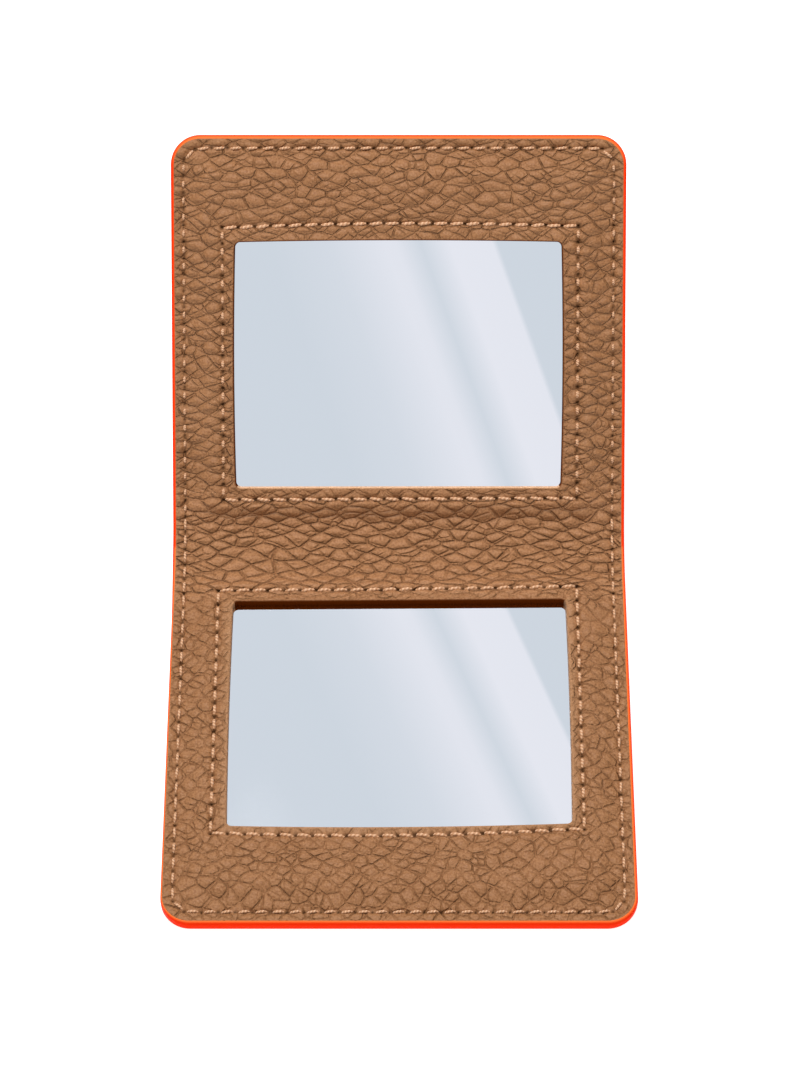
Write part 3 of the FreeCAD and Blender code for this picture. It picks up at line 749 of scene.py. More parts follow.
def leather_grid(edge, rows, cut_outs, spacing):
    """The flat grid of a leather: its points and its faces, without those in its windows."""
    shapes = [edge, *rows, *cut_outs.values()]
    stops = np.array([s["centre"] + sign * s["half"] for s in shapes for sign in (-1, 1)])
    columns, lengths = (grid_lines(stops[:, axis], **spacing) for axis in (0, 1))
    across, along = np.meshgrid(columns, lengths)
    flat = np.stack([across.ravel(), along.ravel()], axis=1)
    faces = quads(np.arange(len(flat)).reshape(across.shape))
    for shape in cut_outs.values():
        inside = (np.abs(flat - shape["centre"]) - shape["half"]).max(axis=1) < -SAME
        faces = faces[~inside[faces].any(axis=1)]
        flat = round_corners(flat, shape, CORNER_FADE)
    flat = round_corners(flat, edge, edge["radius"])
    used = np.unique(faces)
    renumber = np.zeros(len(flat), int)
    renumber[used] = np.arange(len(used))
    return flat[used], renumber[faces]


def build_leather(name, edge, rows, cut_outs, spacing, level_at, bend, feet, outward):
    """A whole leather as a piece: grid, rims, back, grain and bend. outward is the way its grain looks."""
    flat, faces = leather_grid(edge, rows, cut_outs, spacing)
    level, hole, share = level_at(flat)
    top_rim = rim_edges(faces)
    on_edge = distance_to(flat[top_rim[:, 0]], edge) > -SAME
    count = len(flat)
    points, faces, rim = add_wall(np.column_stack([flat, level]), faces, top_rim, 0)
    points[rim, 2] = points[top_rim, 2] - WALL_STEP * outward
    points, faces, rim = add_wall(points, faces, rim, feet["window"])
    points[rim[on_edge], 2] = feet["edge"]
    mesh = bpy.data.meshes.new(name)
    shell = close_back(points, faces, rim)
    shell.to_mesh(mesh)
    shell.free()
    below = np.zeros(len(points) - count)
    add_values(mesh, "hide", points * (1, 1, 0))
    add_values(mesh, "grain", np.concatenate([share, below]))
    add_values(mesh, "hole", np.concatenate([hole, below]))
    # the lips' painted shade and painted highlight
    for tone, values in zip(("painted_lip_shade", "painted_lip_light"), lip_painted_light_and_shade(points[:, :2], cut_outs)):
        add_values(mesh, tone, values)
    piece = new_object(name, mesh)
    run_tree(piece, relief_tree, {"Depth": PEBBLE_HEIGHT * outward})
    mesh = piece.data
    flat = np.empty(len(mesh.vertices) * 3, np.float32)
    mesh.vertices.foreach_get("co", flat)
    flat = flat.reshape(-1, 3).astype(float)
    mesh.vertices.foreach_set("co", fold_up(hand_cut(flat) if cut_outs else flat, bend).ravel())
    mesh.polygons.foreach_set("use_smooth", np.ones(len(mesh.polygons), bool))
    mesh.update()
    triangles = sum(len(face.vertices) - 2 for face in mesh.polygons)
    print(f"{name}: {len(mesh.vertices)} points, {triangles} triangles")
    return piece


# %% Facing
FACING_GRID = {"coarse": 0.36, "fine": 0.11, "spread": 1.2}
# the foot and the crest of each ramp over the board, across and out from the hinge line
RAMP_ACROSS = (36.9, 32.9)
RAMP_END = (69.4, 65.4)
RAMP_FOLD = (4.4, 8.0)
EDGE_ROLL = 0.35
LIP_ROLL = 0.28
SEAM_DIP = 0.3
SEAM_DIP_WIDTH = 0.6
HOLE_DIP = 0.3
EDGE_HOLE = 0.27
WINDOW_HOLE = 0.35
# how far from a lip and from the edge the grain is whole
LIP_FADE = 0.6
EDGE_FADE = 0.5
window_holes = np.vstack([row for rows in window_seams.values() for row in rows])


def facing_rise(flat):
    """The level of the facing before its edges are rolled and its seams are sewn."""
    across, out = np.abs(flat[:, 0]), out_of(flat[:, 1], FACING_BEND)
    rise = np.ones(len(flat))
    for place, (foot, crest) in ((across, RAMP_ACROSS), (out, RAMP_END), (out, RAMP_FOLD)):
        rise *= smooth((place - foot) / (crest - foot))
    return EDGE_TOP + (PLATEAU - EDGE_TOP) * rise


def seam_dip(flat, rows):
    """How far a leather sinks along its seams."""
    gap = np.min([np.abs(distance_to(flat, row)) for row in rows], axis=0)
    return SEAM_DIP * np.exp(-((gap / SEAM_DIP_WIDTH) ** 2))


facing_rows = [facing_row, *window_rows.values()]


def facing_level(flat):
    """The facing's level, its needle holes and how much grain it shows."""
    inside = -distance_to(flat, facing_edge)
    level = facing_rise(flat) - rolled(inside, EDGE_ROLL)
    for shape in windows.values():
        level -= rolled(distance_to(flat, shape), LIP_ROLL)
    hole = np.maximum(near_holes(flat, facing_seam, EDGE_HOLE), near_holes(flat, window_holes, WINDOW_HOLE))
    level -= seam_dip(flat, facing_rows) + HOLE_DIP * hole
    lip_gap = np.min([distance_to(flat, shape) for shape in windows.values()], axis=0)
    return level, hole, smooth(lip_gap / LIP_FADE) * smooth(inside / EDGE_FADE)


facing_feet = {"edge": FACING_BACK, "window": SILVER_TOP}
facing_plan = (facing_edge, facing_rows, windows, FACING_GRID)
facing = build_leather("leather_facing", *facing_plan, facing_level, FACING_BEND, facing_feet, 1)

# %% [markdown]
# ## The cover
#
# The cover is a plain hide on the outside. It has the same grain and one seam along its edge, and it bends
# more tightly than the facing. Its grain looks down, away from the mirrors, so its level falls inwards.

# %% Cover
COVER_GRID = {"coarse": 0.46, "fine": 0.16, "spread": 1.2}
COVER_HOLE_DIP = 0.25


def cover_level(flat):
    """The cover's outer level, its needle holes and how much grain it shows."""
    inside = -distance_to(flat, cover_edge)
    hole = near_holes(flat, cover_seam, EDGE_HOLE)
    level = rolled(inside, EDGE_ROLL) + seam_dip(flat, [cover_row]) + COVER_HOLE_DIP * hole
    return level, hole, smooth(inside / EDGE_FADE)


cover_feet = {"edge": COVER_TOP, "window": COVER_TOP}
cover_plan = (cover_edge, [cover_row], {}, COVER_GRID)
cover = build_leather("leather_cover", *cover_plan, cover_level, COVER_BEND, cover_feet, -1)

# %% [markdown]
# ## The leathers across the fold
#
# Both leathers cross the fold, so each is one piece that lies on the base at one end and on the lid at the
# other. The turn is spread over a short zone on both sides of the hinge line. Each piece's place is baked
# into its mesh, and the CAD nodes that it replaces are hidden.


def cross_fold(piece, slot, *nodes):
    """Bake a piece's place into its mesh and hide the CAD nodes that it stands in for."""
    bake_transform(piece)
    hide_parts(*nodes)


cross_fold(facing, "leather", "base_inner_leather", "fold_inner_leather", "lid_inner_leather")
cross_fold(cover, "leather", "base_outer_leather", "fold_outer_leather", "lid_outer_leather")

# %% [markdown]
# ## Thread
#
# The thread is waxed polyester of two plies. On the real seam each stitch is a short length of it that
# comes up out of one hole and goes down the next, so it is fattest in its middle and dives at both ends.
# One small bar with few faces is enough, because there are hundreds. Geometry Nodes put it on every edge of
# the sewing plan, turned to the leather, with a little slant and unevenness. The twist is drawn by the
# material.

# %% Thread material
THREAD = "#eebf98"
THREAD_SHADE = "#c48e64"
TWISTS_PER_STITCH = 3.2
PLY_DEPTH = 0.12


def make_thread():
    """Waxed two-ply thread: a soft sheen and slanting shadows between the plies."""
    material, tree, shader = new_material("waxed_thread")
    place = add_node(tree, "ShaderNodeUVMap", uv_map="UVMap").outputs[0]
    along, around = add_node(tree, "ShaderNodeSeparateXYZ", {0: place}).outputs[:2]
    wound = math_of(tree, "MULTIPLY_ADD", along, TWISTS_PER_STITCH, around)
    wave = math_of(tree, "SINE", math_of(tree, "MULTIPLY", wound, 2 * math.pi))
    ply = range_of(tree, wave, -1.0, 1.0, 0.0, 1.0)
    looks = {
        "Base Color": mixed(tree, ply, THREAD_SHADE, THREAD),
        "Roughness": 0.5,
        "Sheen Weight": 0.15,
        "Normal": bump_of(tree, ply, PLY_DEPTH * MM, 0.8),
    }
    feed(tree, shader, looks)
    return material


thread = make_thread()
print("thread:", len(thread.node_tree.nodes), "nodes")

# %% One stitch
STITCH_AROUND = 8
# along the stitch: place, thickness and dive, as shares of its length, thread and thread
STITCH_SHARES = ((-0.5, 0.35, -0.75), (-0.42, 0.75, -0.4), (-0.25, 1, -0.05), (0, 1, 0), (0.25, 1, -0.05))
STITCH_SHARES += ((0.42, 0.75, -0.4), (0.5, 0.35, -0.75))


def make_stitch():
    """A bar of unit length and thickness with a UV map along it and round it."""
    bar = bmesh.new()
    uv = bar.loops.layers.uv.new("UVMap")
    turns = [2 * math.pi * i / STITCH_AROUND for i in range(STITCH_AROUND)]
    rings = []
    for along, thick, dive in STITCH_SHARES:
        ring = [(along, thick * math.cos(turn) / 2, dive + thick * math.sin(turn) / 2) for turn in turns]
        rings.append([bar.verts.new(place) for place in ring])
    for ring, (first, second) in enumerate(zip(rings, rings[1:])):
        for i in range(STITCH_AROUND):
            after = (i + 1) % STITCH_AROUND
            face = bar.faces.new((first[i], first[after], second[after], second[i]))
            corners = ((ring, i), (ring, i + 1), (ring + 1, i + 1), (ring + 1, i))
            for loop, (place, turn) in zip(face.loops, corners):
                loop[uv].uv = (STITCH_SHARES[place][0] + 0.5, turn / STITCH_AROUND)
            face.smooth = True
    bar.faces.new(rings[0])
    bar.faces.new(reversed(rings[-1]))
    bmesh.ops.recalc_face_normals(bar, faces=bar.faces)
    mesh = bpy.data.meshes.new("stitch")
    bar.to_mesh(mesh)
    bar.free()
    return new_object("stitch", mesh)


stitch = make_stitch()
print("one stitch:", len(stitch.data.polygons), "faces")

# %% The sewing tree
SLANT = math.radians(7)
UNEVEN = math.radians(3)


def make_sewing_tree():
    """Put the stitch on every edge of a sewing plan."""
    tree, given = new_tree("sew", {"Thread": "NodeSocketFloat", "Seed": "NodeSocketInt"})
    ends = add_node(tree, "GeometryNodeInputMeshEdgeVertices").outputs
    step = vector_of(tree, "SUBTRACT", ends["Position 2"], ends["Position 1"])
    inputs = {"Geometry": given["Geometry"], "Name": "step", "Value": step}
    plan = add_node(tree, "GeometryNodeStoreNamedAttribute", inputs, data_type="FLOAT_VECTOR", domain="EDGE")
    places = add_node(tree, "GeometryNodeMeshToPoints", {"Mesh": plan.outputs[0]}, mode="EDGES")
    step, up = (kept(tree, name, "FLOAT_VECTOR") for name in ("step", "up"))
    axes = {"primary_axis": "X", "secondary_axis": "Z"}
    aligned = add_node(tree, "FunctionNodeAxesToRotation", {0: step, 1: up}, **axes)
    inputs = {2: -UNEVEN, 3: UNEVEN, "Seed": given["Seed"]}
    chance = add_node(tree, "FunctionNodeRandomValue", inputs, data_type="FLOAT").outputs[1]
    lean = math_of(tree, "ADD", chance, kept(tree, "slant"))
    tilt = add_node(tree, "ShaderNodeCombineXYZ", {"Z": lean})
    inputs = {0: aligned.outputs[0], 1: tilt.outputs[0]}
    turned = add_node(tree, "FunctionNodeRotateRotation", inputs, rotation_space="LOCAL")
    length = add_node(tree, "ShaderNodeVectorMath", {0: step}, operation="LENGTH").outputs["Value"]
    seen = math_of(tree, "MULTIPLY", length, kept(tree, "show"))
    size = add_node(tree, "ShaderNodeCombineXYZ", {"X": seen, "Y": given["Thread"], "Z": given["Thread"]})
    inputs = {
        "Points": places.outputs[0],
        "Instance": add_node(tree, "GeometryNodeObjectInfo", {"Object": stitch}).outputs["Geometry"],
        "Rotation": turned.outputs[0],
        "Scale": size.outputs[0],
    }
    sewn = add_node(tree, "GeometryNodeInstanceOnPoints", inputs)
    real = add_node(tree, "GeometryNodeRealizeInstances", {0: sewn.outputs[0]})
    end_tree(tree, real.outputs[0], thread)
    return tree


sewing_tree = make_sewing_tree()
print("sewing:", len(sewing_tree.nodes), "nodes")

# %% Sewing
EDGE_THREAD = 0.48
WINDOW_THREAD = 0.57
EDGE_SINK = 0.1
WINDOW_SINK = 0.26
COVER_SINK = 0.33
# how much of each stitch shows: across and along, on the edge seam and on the windows
SHOWN = {"edge": (0.68, 0.68), "lid_edge": (0.68, 0.38), "base": (0.86, 0.72), "lid": (0.86, 0.5)}


def sew(name, edges, bend, level_at, outward, width, seed):
    """A thread piece from stitches given as (first hole, second hole, share that shows, slant)."""
    starts, ends, shows, slants = (np.array(part) for part in zip(*edges))
    flat = np.stack([starts, ends], axis=1).reshape(-1, 2)
    placed = np.column_stack([flat, level_at(flat)])
    points = fold_up(hand_cut(placed) if outward > 0 else placed, bend)
    mesh = bpy.data.meshes.new(name)
    mesh.from_pydata(points.tolist(), [(i, i + 1) for i in range(0, len(points), 2)], [])
    turn = turn_at((starts[:, 1] + ends[:, 1]) / 2, bend)
    up = np.stack([np.zeros(len(turn)), -np.sin(turn), np.cos(turn)], axis=1) * outward
    for label, values in (("up", up), ("show", shows), ("slant", slants)):
        add_values(mesh, label, values, "EDGE")
    piece = new_object(name, mesh)
    run_tree(piece, sewing_tree, {"Thread": width * MM, "Seed": seed})
    print(f"{name}: {len(edges)} stitches")
    return piece


def one_stitch(seam, start, end, slant):
    """A stitch with its look: how much shows depends on its seam and its way, and so does its slant."""
    across, along = np.abs(end - start)
    if along > across:
        return start, end, SHOWN[seam][1], 0.0
    return start, end, SHOWN[seam][0], slant


def part_of(start, end, bend):
    """The part of the mirror that a stitch of an edge seam belongs to."""
    along = (start[1] + end[1]) / 2
    if abs(along) < bend["half_arc"]:
        return "fold"
    return "lid" if along > 0 else "base"


def front_level(flat):
    """The level of the facing's edge seam."""
    return facing_rise(flat) - EDGE_SINK


def back_level(flat):
    """The level of the cover's edge seam."""
    return np.full(len(flat), COVER_SINK)


def window_level(flat):
    """The level of a window's seam."""
    return facing_rise(flat) - WINDOW_SINK


# %% Sew the edges
seams = {
    "front": (facing_seam, FACING_BEND, front_level, 1),
    "back": (cover_seam, COVER_BEND, back_level, -1),
}
edge_stitches = {}
for side, (holes, bend, *_) in seams.items():
    for start, end in zip(holes, np.roll(holes, -1, axis=0)):
        part = part_of(start, end, bend)
        seam = "lid_edge" if part == "lid" else "edge"
        edge_stitches.setdefault((side, part), []).append(one_stitch(seam, start, end, SLANT))
for seed, ((side, part), edges) in enumerate(edge_stitches.items()):
    piece = sew(f"{part}_{side}_thread", edges, *seams[side][1:], EDGE_THREAD, seed)
    if part == "fold":
        cross_fold(piece, "thread", f"fold_{side}_stitches")
    else:
        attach(piece, part)
        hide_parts(f"{part}_{side}_stitches")

# %% Sew the windows
for seed, (half, sides) in enumerate(window_seams.items(), start=10):
    edges = []
    middle = np.vstack(sides)[:, 1].mean()
    for row in sides:
        slant = SLANT if row[0, 1] > middle else -SLANT
        edges += [one_stitch(half, start, end, slant) for start, end in zip(row, row[1:])]
    piece = sew(f"{half}_window_thread", edges, FACING_BEND, window_level, 1, WINDOW_THREAD, seed)
    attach(piece, half)
    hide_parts(f"{half}_window_stitches")
bpy.data.objects.remove(stitch)

# %% [markdown]
# ## Painted edges
#
# The cut edges are sanded and coated with acrylic edge paint, in several layers that dry to a smooth,
# slightly domed band. A sprayed-on colour would not do: the paint has its own thickness and wraps a little
# onto both faces, where it is paler, partly as a thinner coat and partly as a painted highlight; the lid's
# end gets more of that painted highlight. It is brushed on by hand, so the coat is thicker at the lid's end
# and thinner along one side. The pigment is bright in daylight, and a trace of glow, which is painted light,
# stands for that.
# The band is a closed loop round the whole open mirror. Each section runs from the cover's edge to the
# facing's edge, which also carries it through the fold, where the leathers part.

# %% Edge paint material
EDGE_ORANGE = "#f83000"
DEEP_ORANGE = "#f02a00"
# paler at the rims, partly a thinner coat and partly a painted highlight
PALE_COAT_AND_HIGHLIGHT_ORANGE = "#f47a3c"
RIPPLE_LENGTH = 1.8
RIPPLE_DEPTH = 0.08


def make_edge_paint():
    """Acrylic edge paint, its bright pigment helped by a painted glow: even, saturated and smooth, with a
    faint ripple.
    """
    material, tree, shader = new_material("acrylic_edge_paint")
    ripple = noise_of(tree, object_place(tree), RIPPLE_LENGTH * MM)[0]
    coat = mixed(tree, ripple, EDGE_ORANGE, DEEP_ORANGE)
    looks = {
        "Base Color": mixed(tree, share_of(tree, "pale_coat_and_highlight"), coat, PALE_COAT_AND_HIGHLIGHT_ORANGE),
        "Roughness": 0.38,
        "Specular IOR Level": 0.01,
        # painted light: a faint glow that brightens the pigment, though the paint is no lamp
        "Emission Color": linear(EDGE_ORANGE),
        "Emission Strength": 0.06,
        "Normal": bump_of(tree, ripple, RIPPLE_DEPTH * MM, 0.3),
    }
    feed(tree, shader, looks)
    return material


edge_paint = make_edge_paint()
print("edge paint:", len(edge_paint.node_tree.nodes), "nodes")

# %% Paint band
PAINT_STATIONS = 760
# the band's section at each face: how far out of the leather's edge, and how far from the face
PAINT_SECTION = ((-0.25, 0.12), (-0.06, 0.08), (0.1, 0.13), (0.27, 0.28), (0.38, 0.56), (0.43, 0.95))
# the coat's thickness: more at the lid's end, less on the left of the base, which begins over a length
LID_END_MORE = 0.25
BASE_LEFT_LESS = 0.5
BASE_LEFT_LENGTH = 15
# where the coat is painted pale, partly as a thinner coat and partly as a painted highlight: nearer the
# leather than this, less along the lid's sides, and as a painted highlight more at its end
PALE_RIM_REACH = 0.3
LID_SIDE_LESS = 0.8
LID_END_PAINTED_HIGHLIGHT = 0.3


def shell_of(name, points, loop_size, closed_ways):
    """A mesh of quads over a grid of points, closed round one or both ways."""
    grid = np.arange(len(points)).reshape(-1, loop_size)
    if closed_ways == 2:
        grid = np.vstack([grid, grid[:1]])
    grid = np.hstack([grid, grid[:, :1]])
    faces = quads(grid).tolist()
    if closed_ways == 1:
        faces += [grid[0, :-1].tolist(), grid[-1, :-1].tolist()]
    mesh = bpy.data.meshes.new(name)
    mesh.from_pydata(points.tolist(), [], faces)
    shell = bmesh.new()
    shell.from_mesh(mesh)
    bmesh.ops.recalc_face_normals(shell, faces=shell.faces)
    shell.to_mesh(mesh)
    shell.free()
    return mesh


def bent_row(across, along, level, bend):
    """Points of one level, bent into place."""
    across, along, level = np.broadcast_arrays(across, along, level)
    return fold_up(np.stack([across, along, level], axis=1), bend)


def make_paint_band():
    """The band of paint round the open mirror."""
    whole = rectangle(-HALF_WIDTH, HALF_WIDTH, -LENGTH, LENGTH, CORNER)
    places = points_round(whole, PAINT_STATIONS)
    away = outward_from(places, whole)
    across, out = places.T
    in_fold = np.abs(out) < FACING_BEND["reach"]
    back = np.where(in_fold, out / FACING_BEND["reach"] * BACK_ARC, along_of(out, COVER_BEND))
    low = bent_row(across, back, 0, COVER_BEND)
    high = bent_row(across, along_of(out, FACING_BEND), EDGE_TOP, FACING_BEND)
    up = (high - low) / np.linalg.norm(high - low, axis=1)[:, None]
    turn = np.where(out > 0, RAISE, 0)
    side, end = away.T
    way = np.stack([side, end * np.cos(turn), end * np.sin(turn)], axis=1)
    at_lid_end, at_left = np.clip(end, 0, 1), np.clip(-side, 0, 1)
    coat = 1 + LID_END_MORE * at_lid_end - BASE_LEFT_LESS * at_left * smooth(-out / BASE_LEFT_LENGTH)
    way *= coat[:, None]
    section = [low + (way * reach + up * gap) * MM for reach, gap in PAINT_SECTION]
    section += [high + (way * reach - up * gap) * MM for reach, gap in reversed(PAINT_SECTION)]
    mesh = shell_of("edge_paint_band", np.stack(section, axis=1).reshape(-1, 3), len(section), 2)
    pale_coat_and_highlight = np.clip((PALE_RIM_REACH - np.array(PAINT_SECTION)[:, 0]) / PALE_RIM_REACH, 0, 1)
    on_lid_side = np.where(out > 0, 1 - np.abs(end), 0)
    pale_coat_and_highlight = np.outer(1 - LID_SIDE_LESS * on_lid_side, np.concatenate([pale_coat_and_highlight, pale_coat_and_highlight[::-1]]))
    # painted highlight along the lid's end, where the coat is in fact thicker
    pale_coat_and_highlight += LID_END_PAINTED_HIGHLIGHT * at_lid_end[:, None]
    add_values(mesh, "pale_coat_and_highlight", np.clip(pale_coat_and_highlight, 0, 1).ravel())
    mesh.polygons.foreach_set("use_smooth", np.ones(len(mesh.polygons), bool))
    return new_object("edge_paint_band", mesh)


paint_band = make_paint_band()
paint_band.data.materials.append(edge_paint)
cross_fold(paint_band, "edge_paint", "base_edge_paint", "fold_edge_paint", "lid_edge_paint")
print("edge paint:", len(paint_band.data.polygons), "faces")

# %% [markdown]
# ## The strip in the fold
#
# Between the two leathers the fold holds a soft strip of bonded leather. It hardly shows, but it lies bent
# with the leathers, so it is made again as a bent piece that crosses the fold.

# %% Fold strip
STRIP_STATIONS = 24
STRIP_PLAY = 0.04


def make_strip():
    """The filler between the cover's and the facing's bends."""
    share = np.linspace(-1, 1, STRIP_STATIONS)
    back = (share * BACK_ARC, COVER_TOP + STRIP_PLAY, COVER_BEND)
    front = (share[::-1] * FACING_BEND["half_arc"], FACING_BACK - STRIP_PLAY, FACING_BEND)
    points = [bent_row(across, *face) for across in (-HALF_WIDTH, HALF_WIDTH) for face in (back, front)]
    return new_object("fold_strip", shell_of("fold_strip", np.vstack(points), 2 * STRIP_STATIONS, 1))


fold_strip = make_strip()
cross_fold(fold_strip, "bonded_leather", "fold_reinforcement")
print("fold strip:", len(fold_strip.data.polygons), "faces")

# %% [markdown]
# ## The mirrors
#
# Each mirror is a thin plate of silvered float glass with a ground bevel. The leather overlaps the glass
# round each window, so the bevel stays hidden under the lips and the face fills the window. A metallic
# shader with almost no roughness stands for the silver, and a trace of haze keeps it from looking computed.

# %% Mirror material and plates
SILVER = "#f8f6f7"
HAZE_LENGTH = 12.0
HAZE = 0.02
PLATE_CORNER = 1.6
BEVEL_HIDE = 0.6
BEVEL_DROP = 0.3
PLATE_STATIONS = 480


def make_mirror():
    """Silvered float glass: a clear reflection with a faint haze."""
    material, tree, shader = new_material("silvered_glass")
    haze = noise_of(tree, object_place(tree), HAZE_LENGTH * MM, 3.0)[0]
    rough = range_of(tree, haze, 0.0, 1.0, 0.0, HAZE)
    feed(tree, shader, {"Roughness": rough, "Base Color": linear(SILVER), "Metallic": 1.0})
    return material


silver = make_mirror()


def make_plate(half):
    """A mirror's plate, from its back up to the bevel and the face."""
    name = f"{half}_mirror_plate"
    low, high = (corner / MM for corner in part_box("base_mirror_glass"))
    back = half_rectangle(half, low.x, high.x, HINGE_Y - high.y, HINGE_Y - low.y, PLATE_CORNER)
    face = dict(windows[half], half=windows[half]["half"] + BEVEL_HIDE)
    rings = [
        bent_row(*points_round(shape, PLATE_STATIONS).T, level, FACING_BEND)
        for shape, level in ((back, low.z), (back, SILVER_TOP - BEVEL_DROP), (face, SILVER_TOP))
    ]
    plate = new_object(name, shell_of(name, np.vstack(rings), PLATE_STATIONS, 1))
    plate.data.materials.append(silver)
    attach(plate, half)
    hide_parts(f"{half}_mirror_glass")
    print(f"{name}: {len(plate.data.polygons)} faces")


for half in SIDES:
    make_plate(half)

# %% [markdown]
# ## Hidden layers
#
# The stiffeners, boards and tapes keep their CAD shapes. They sit inside the leathers, but the model can be
# taken apart, so each gets the look of its material: bonded leather of pressed fibres, grey board and white
# tape.

# %% Hidden layers
# pale and dark tone, size of the flecks in millimetres, and roughness
LAYERS = {
    "bonded_leather": ("#8a6a4a", "#6d5138", 0.9, 0.8),
    "grey_board": ("#b3a28a", "#93836c", 1.4, 0.9),
    "foam_tape": ("#e9e7e1", "#d9d6ce", 0.6, 0.7),
}
FIBRE_DEPTH = 0.1
LAYER_NODES = {"stiffener": "bonded_leather", "frame_board": "grey_board", "mirror_tape": "foam_tape"}


def make_layer(name, pale, dark, fleck, roughness):
    """A pressed or foamed sheet: two tones in flecks of a size."""
    material, tree, shader = new_material(name)
    flecks = noise_of(tree, object_place(tree), fleck * MM, 4.0)[0]
    looks = {
        "Base Color": mixed(tree, flecks, dark, pale),
        "Roughness": roughness,
        "Normal": bump_of(tree, flecks, FIBRE_DEPTH * MM, 0.4),
    }
    feed(tree, shader, looks)
    return material


layers = {name: make_layer(name, *look) for name, look in LAYERS.items()}
fold_strip.data.materials.append(layers["bonded_leather"])
for half in SIDES:
    for node, layer in LAYER_NODES.items():
        mesh = frame["nodes"][f"{half}_{node}"].data
        mesh.materials.clear()
        mesh.materials.append(layers[layer])
print("hidden layers:", ", ".join(layers))

# %% [markdown]
# ## The studio
#
# The picture has a white ground and soft light from overhead and a little behind, so the base is brighter
# than the lid and each pebble has a light upper rim. A lamp, a weak fill from the front and an even sky
# give that. The streaks in the mirrors are reflections: each mirror sees only a small patch of the room,
# and one card with diagonal bands stands in each of the two patches. Only reflections show the cards.

# %% Floor, sky and lamps
FLOOR_HALF = 2.0
FLOOR_GREYS = ("#d6d6d6", "#d2d2d2")
FLOOR_CLOUD = 1 / 3
FLOOR_DROP = 0.05
SKY = "#fff8f0"
SKY_STRENGTH = 0.31
scene = bpy.context.scene
scene.view_settings.view_transform = "Standard"


def make_floor():
    """A wide white floor."""
    material, tree, shader = new_material("studio_floor")
    soft = noise_of(tree, object_place(tree), FLOOR_CLOUD)[0]
    looks = {
        "Base Color": mixed(tree, soft, *FLOOR_GREYS),
        "Roughness": 0.9,
        "Specular IOR Level": 0.1,
        "Emission Color": linear("#ffffff"),
        "Emission Strength": 0.86,
    }
    feed(tree, shader, looks)
    corners = [(FLOOR_HALF * x, FLOOR_HALF * y, 0) for x, y in ((-1, -1), (1, -1), (1, 1), (-1, 1))]
    mesh = bpy.data.meshes.new("floor")
    mesh.from_pydata(corners, [], [(0, 1, 2, 3)])
    mesh.materials.append(material)
    floor = new_object("floor", mesh)
    floor.location.z = -FLOOR_DROP * MM


def add_lamp(name, place, target, size, power):
    """A square soft lamp that points at a target."""
    data = bpy.data.lights.new(name, "AREA")
    data.size = size
    data.energy = power
    lamp = bpy.data.objects.new(name, data)
    lamp.location = place
    lamp.rotation_euler = (Vector(target) - Vector(place)).to_track_quat("-Z", "Y").to_euler()
    scene.collection.objects.link(lamp)
    print(f"{name} lamp: {power} W")


make_floor()
world = bpy.data.worlds.new("studio")
scene.world = world
world.use_nodes = True
sky = world.node_tree.nodes["Background"]
feed(world.node_tree, sky, {"Color": linear(SKY), "Strength": SKY_STRENGTH})
add_lamp("key", (-0.14, 0.34, 1.08), (0, 0.04, 0), 0.3, 11.2)
add_lamp("fill", (0.1, -0.9, 0.65), (0, 0.04, 0), 0.8, 1.8)

# %% Mirror cards
CARD_DISTANCE = 0.45
CARD_CELLS = 8
CARD_DARK = "#ccd6df"
CARD_BRIGHT = "#e4e8f0"
CARD_GLOW = 1.08
IMAGE_CENTRE = (400, 533.5)
# a place on each mirror, along the hide from the hinge line
ON_MIRROR = 40
# each mirror's box in the picture, in pixels, how its streaks lean, and where they start at its top
CARDS = {
    "lid": {"box": (215, 225, 580, 505), "slope": 0.365, "top": 247, "start": 270},
    "base": {"box": (205, 585, 595, 845), "slope": 0.47, "top": 614, "start": 283},
}
# how far the streaks reach across the picture, in pixels
STREAK_LENGTH = 232
# the bands from left to right, as places on that length and brightness: the light swells, falls into a gap
# and ends in a bright band with a sharp edge
STREAKS = ((0, 0), (0.26, 0.25), (0.5, 0.83), (0.55, 0.8), (0.655, 0.1), (0.78, 0.96))
STREAKS += ((0.965, 0.9), (0.987, 0))


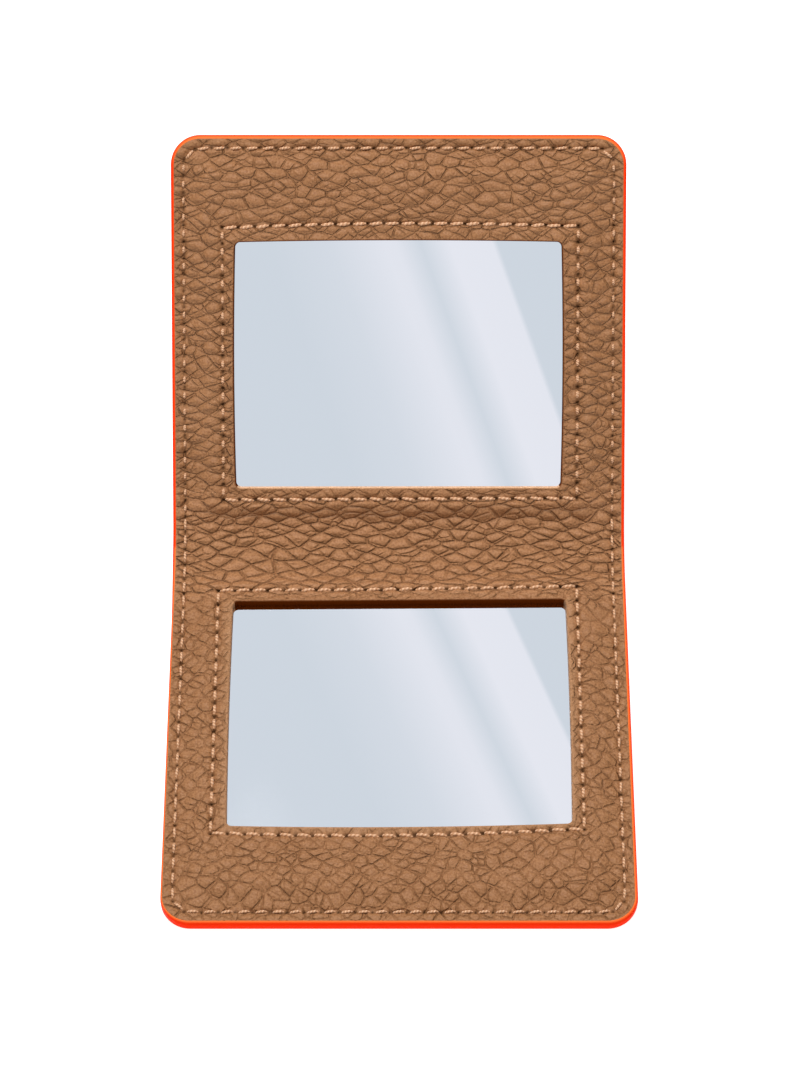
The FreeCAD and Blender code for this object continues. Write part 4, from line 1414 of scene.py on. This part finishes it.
def make_card_glow():
    """A lit card: pale blue with brighter slanting bands."""
    material, tree, _ = new_material("streak_card")
    tree.nodes.clear()
    ramp = add_node(tree, "ShaderNodeValToRGB", {0: share_of(tree, "streak")})
    stops = ramp.color_ramp.elements
    stops.remove(stops[1])
    for place, share in STREAKS:
        stop = stops[0] if place == 0 else stops.new(place)
        stop.color = (share, share, share, 1)
    tone = mixed(tree, ramp.outputs[0], CARD_DARK, CARD_BRIGHT)
    glow = add_node(tree, "ShaderNodeEmission", {"Color": tone, "Strength": CARD_GLOW})
    add_node(tree, "ShaderNodeOutputMaterial", {"Surface": glow.outputs[0]})
    return material


card_glow = make_card_glow()


def seen_at(x, y, point, way):
    """Where a pixel of the picture meets a mirror's plane, and the way that the mirror throws it on."""
    ray = Vector(((x - IMAGE_CENTRE[0]) / FOCAL_PIXELS, (IMAGE_CENTRE[1] - y) / FOCAL_PIXELS, -1))
    ray = (camera.rotation_euler.to_matrix() @ ray).normalized()
    hit = camera.location + ray * (point - camera.location).dot(way) / ray.dot(way)
    return hit, ray - 2 * ray.dot(way) * way


def make_card(half, box, slope, top, start):
    """A card with slanting bands, where one mirror shows the room to the camera."""
    turn = RAISE if half == "lid" else 0
    way = Vector((0, -math.sin(turn), math.cos(turn)))
    point = Vector(bent_row([0], SIDES[half] * ON_MIRROR, SILVER_TOP, FACING_BEND)[0])
    left, low, right, high = box
    facing_way = seen_at((left + right) / 2, (low + high) / 2, point, way)[1]
    middle = seen_at(left, low, point, way)[0] + facing_way * CARD_DISTANCE
    corners, places = [], []
    for y in np.linspace(low, high, CARD_CELLS + 1):
        for x in np.linspace(left, right, CARD_CELLS + 1):
            hit, bounce = seen_at(x, y, point, way)
            corners.append(hit + bounce * (middle - hit).dot(facing_way) / bounce.dot(facing_way))
            places.append((x - slope * (y - top) - start) / STREAK_LENGTH)
    faces = quads(np.arange(len(corners)).reshape(CARD_CELLS + 1, -1))
    mesh = bpy.data.meshes.new(f"{half}_card")
    mesh.from_pydata([tuple(corner) for corner in corners], [], faces.tolist())
    add_values(mesh, "streak", np.array(places))
    mesh.materials.append(card_glow)
    card = new_object(f"{half}_card", mesh)
    for rays in ("camera", "diffuse", "shadow", "transmission"):
        setattr(card, f"visible_{rays}", False)
    print(half, "card at", [round(v, 3) for v in corners[len(corners) // 2]])


for half, card in CARDS.items():
    make_card(half, **card)
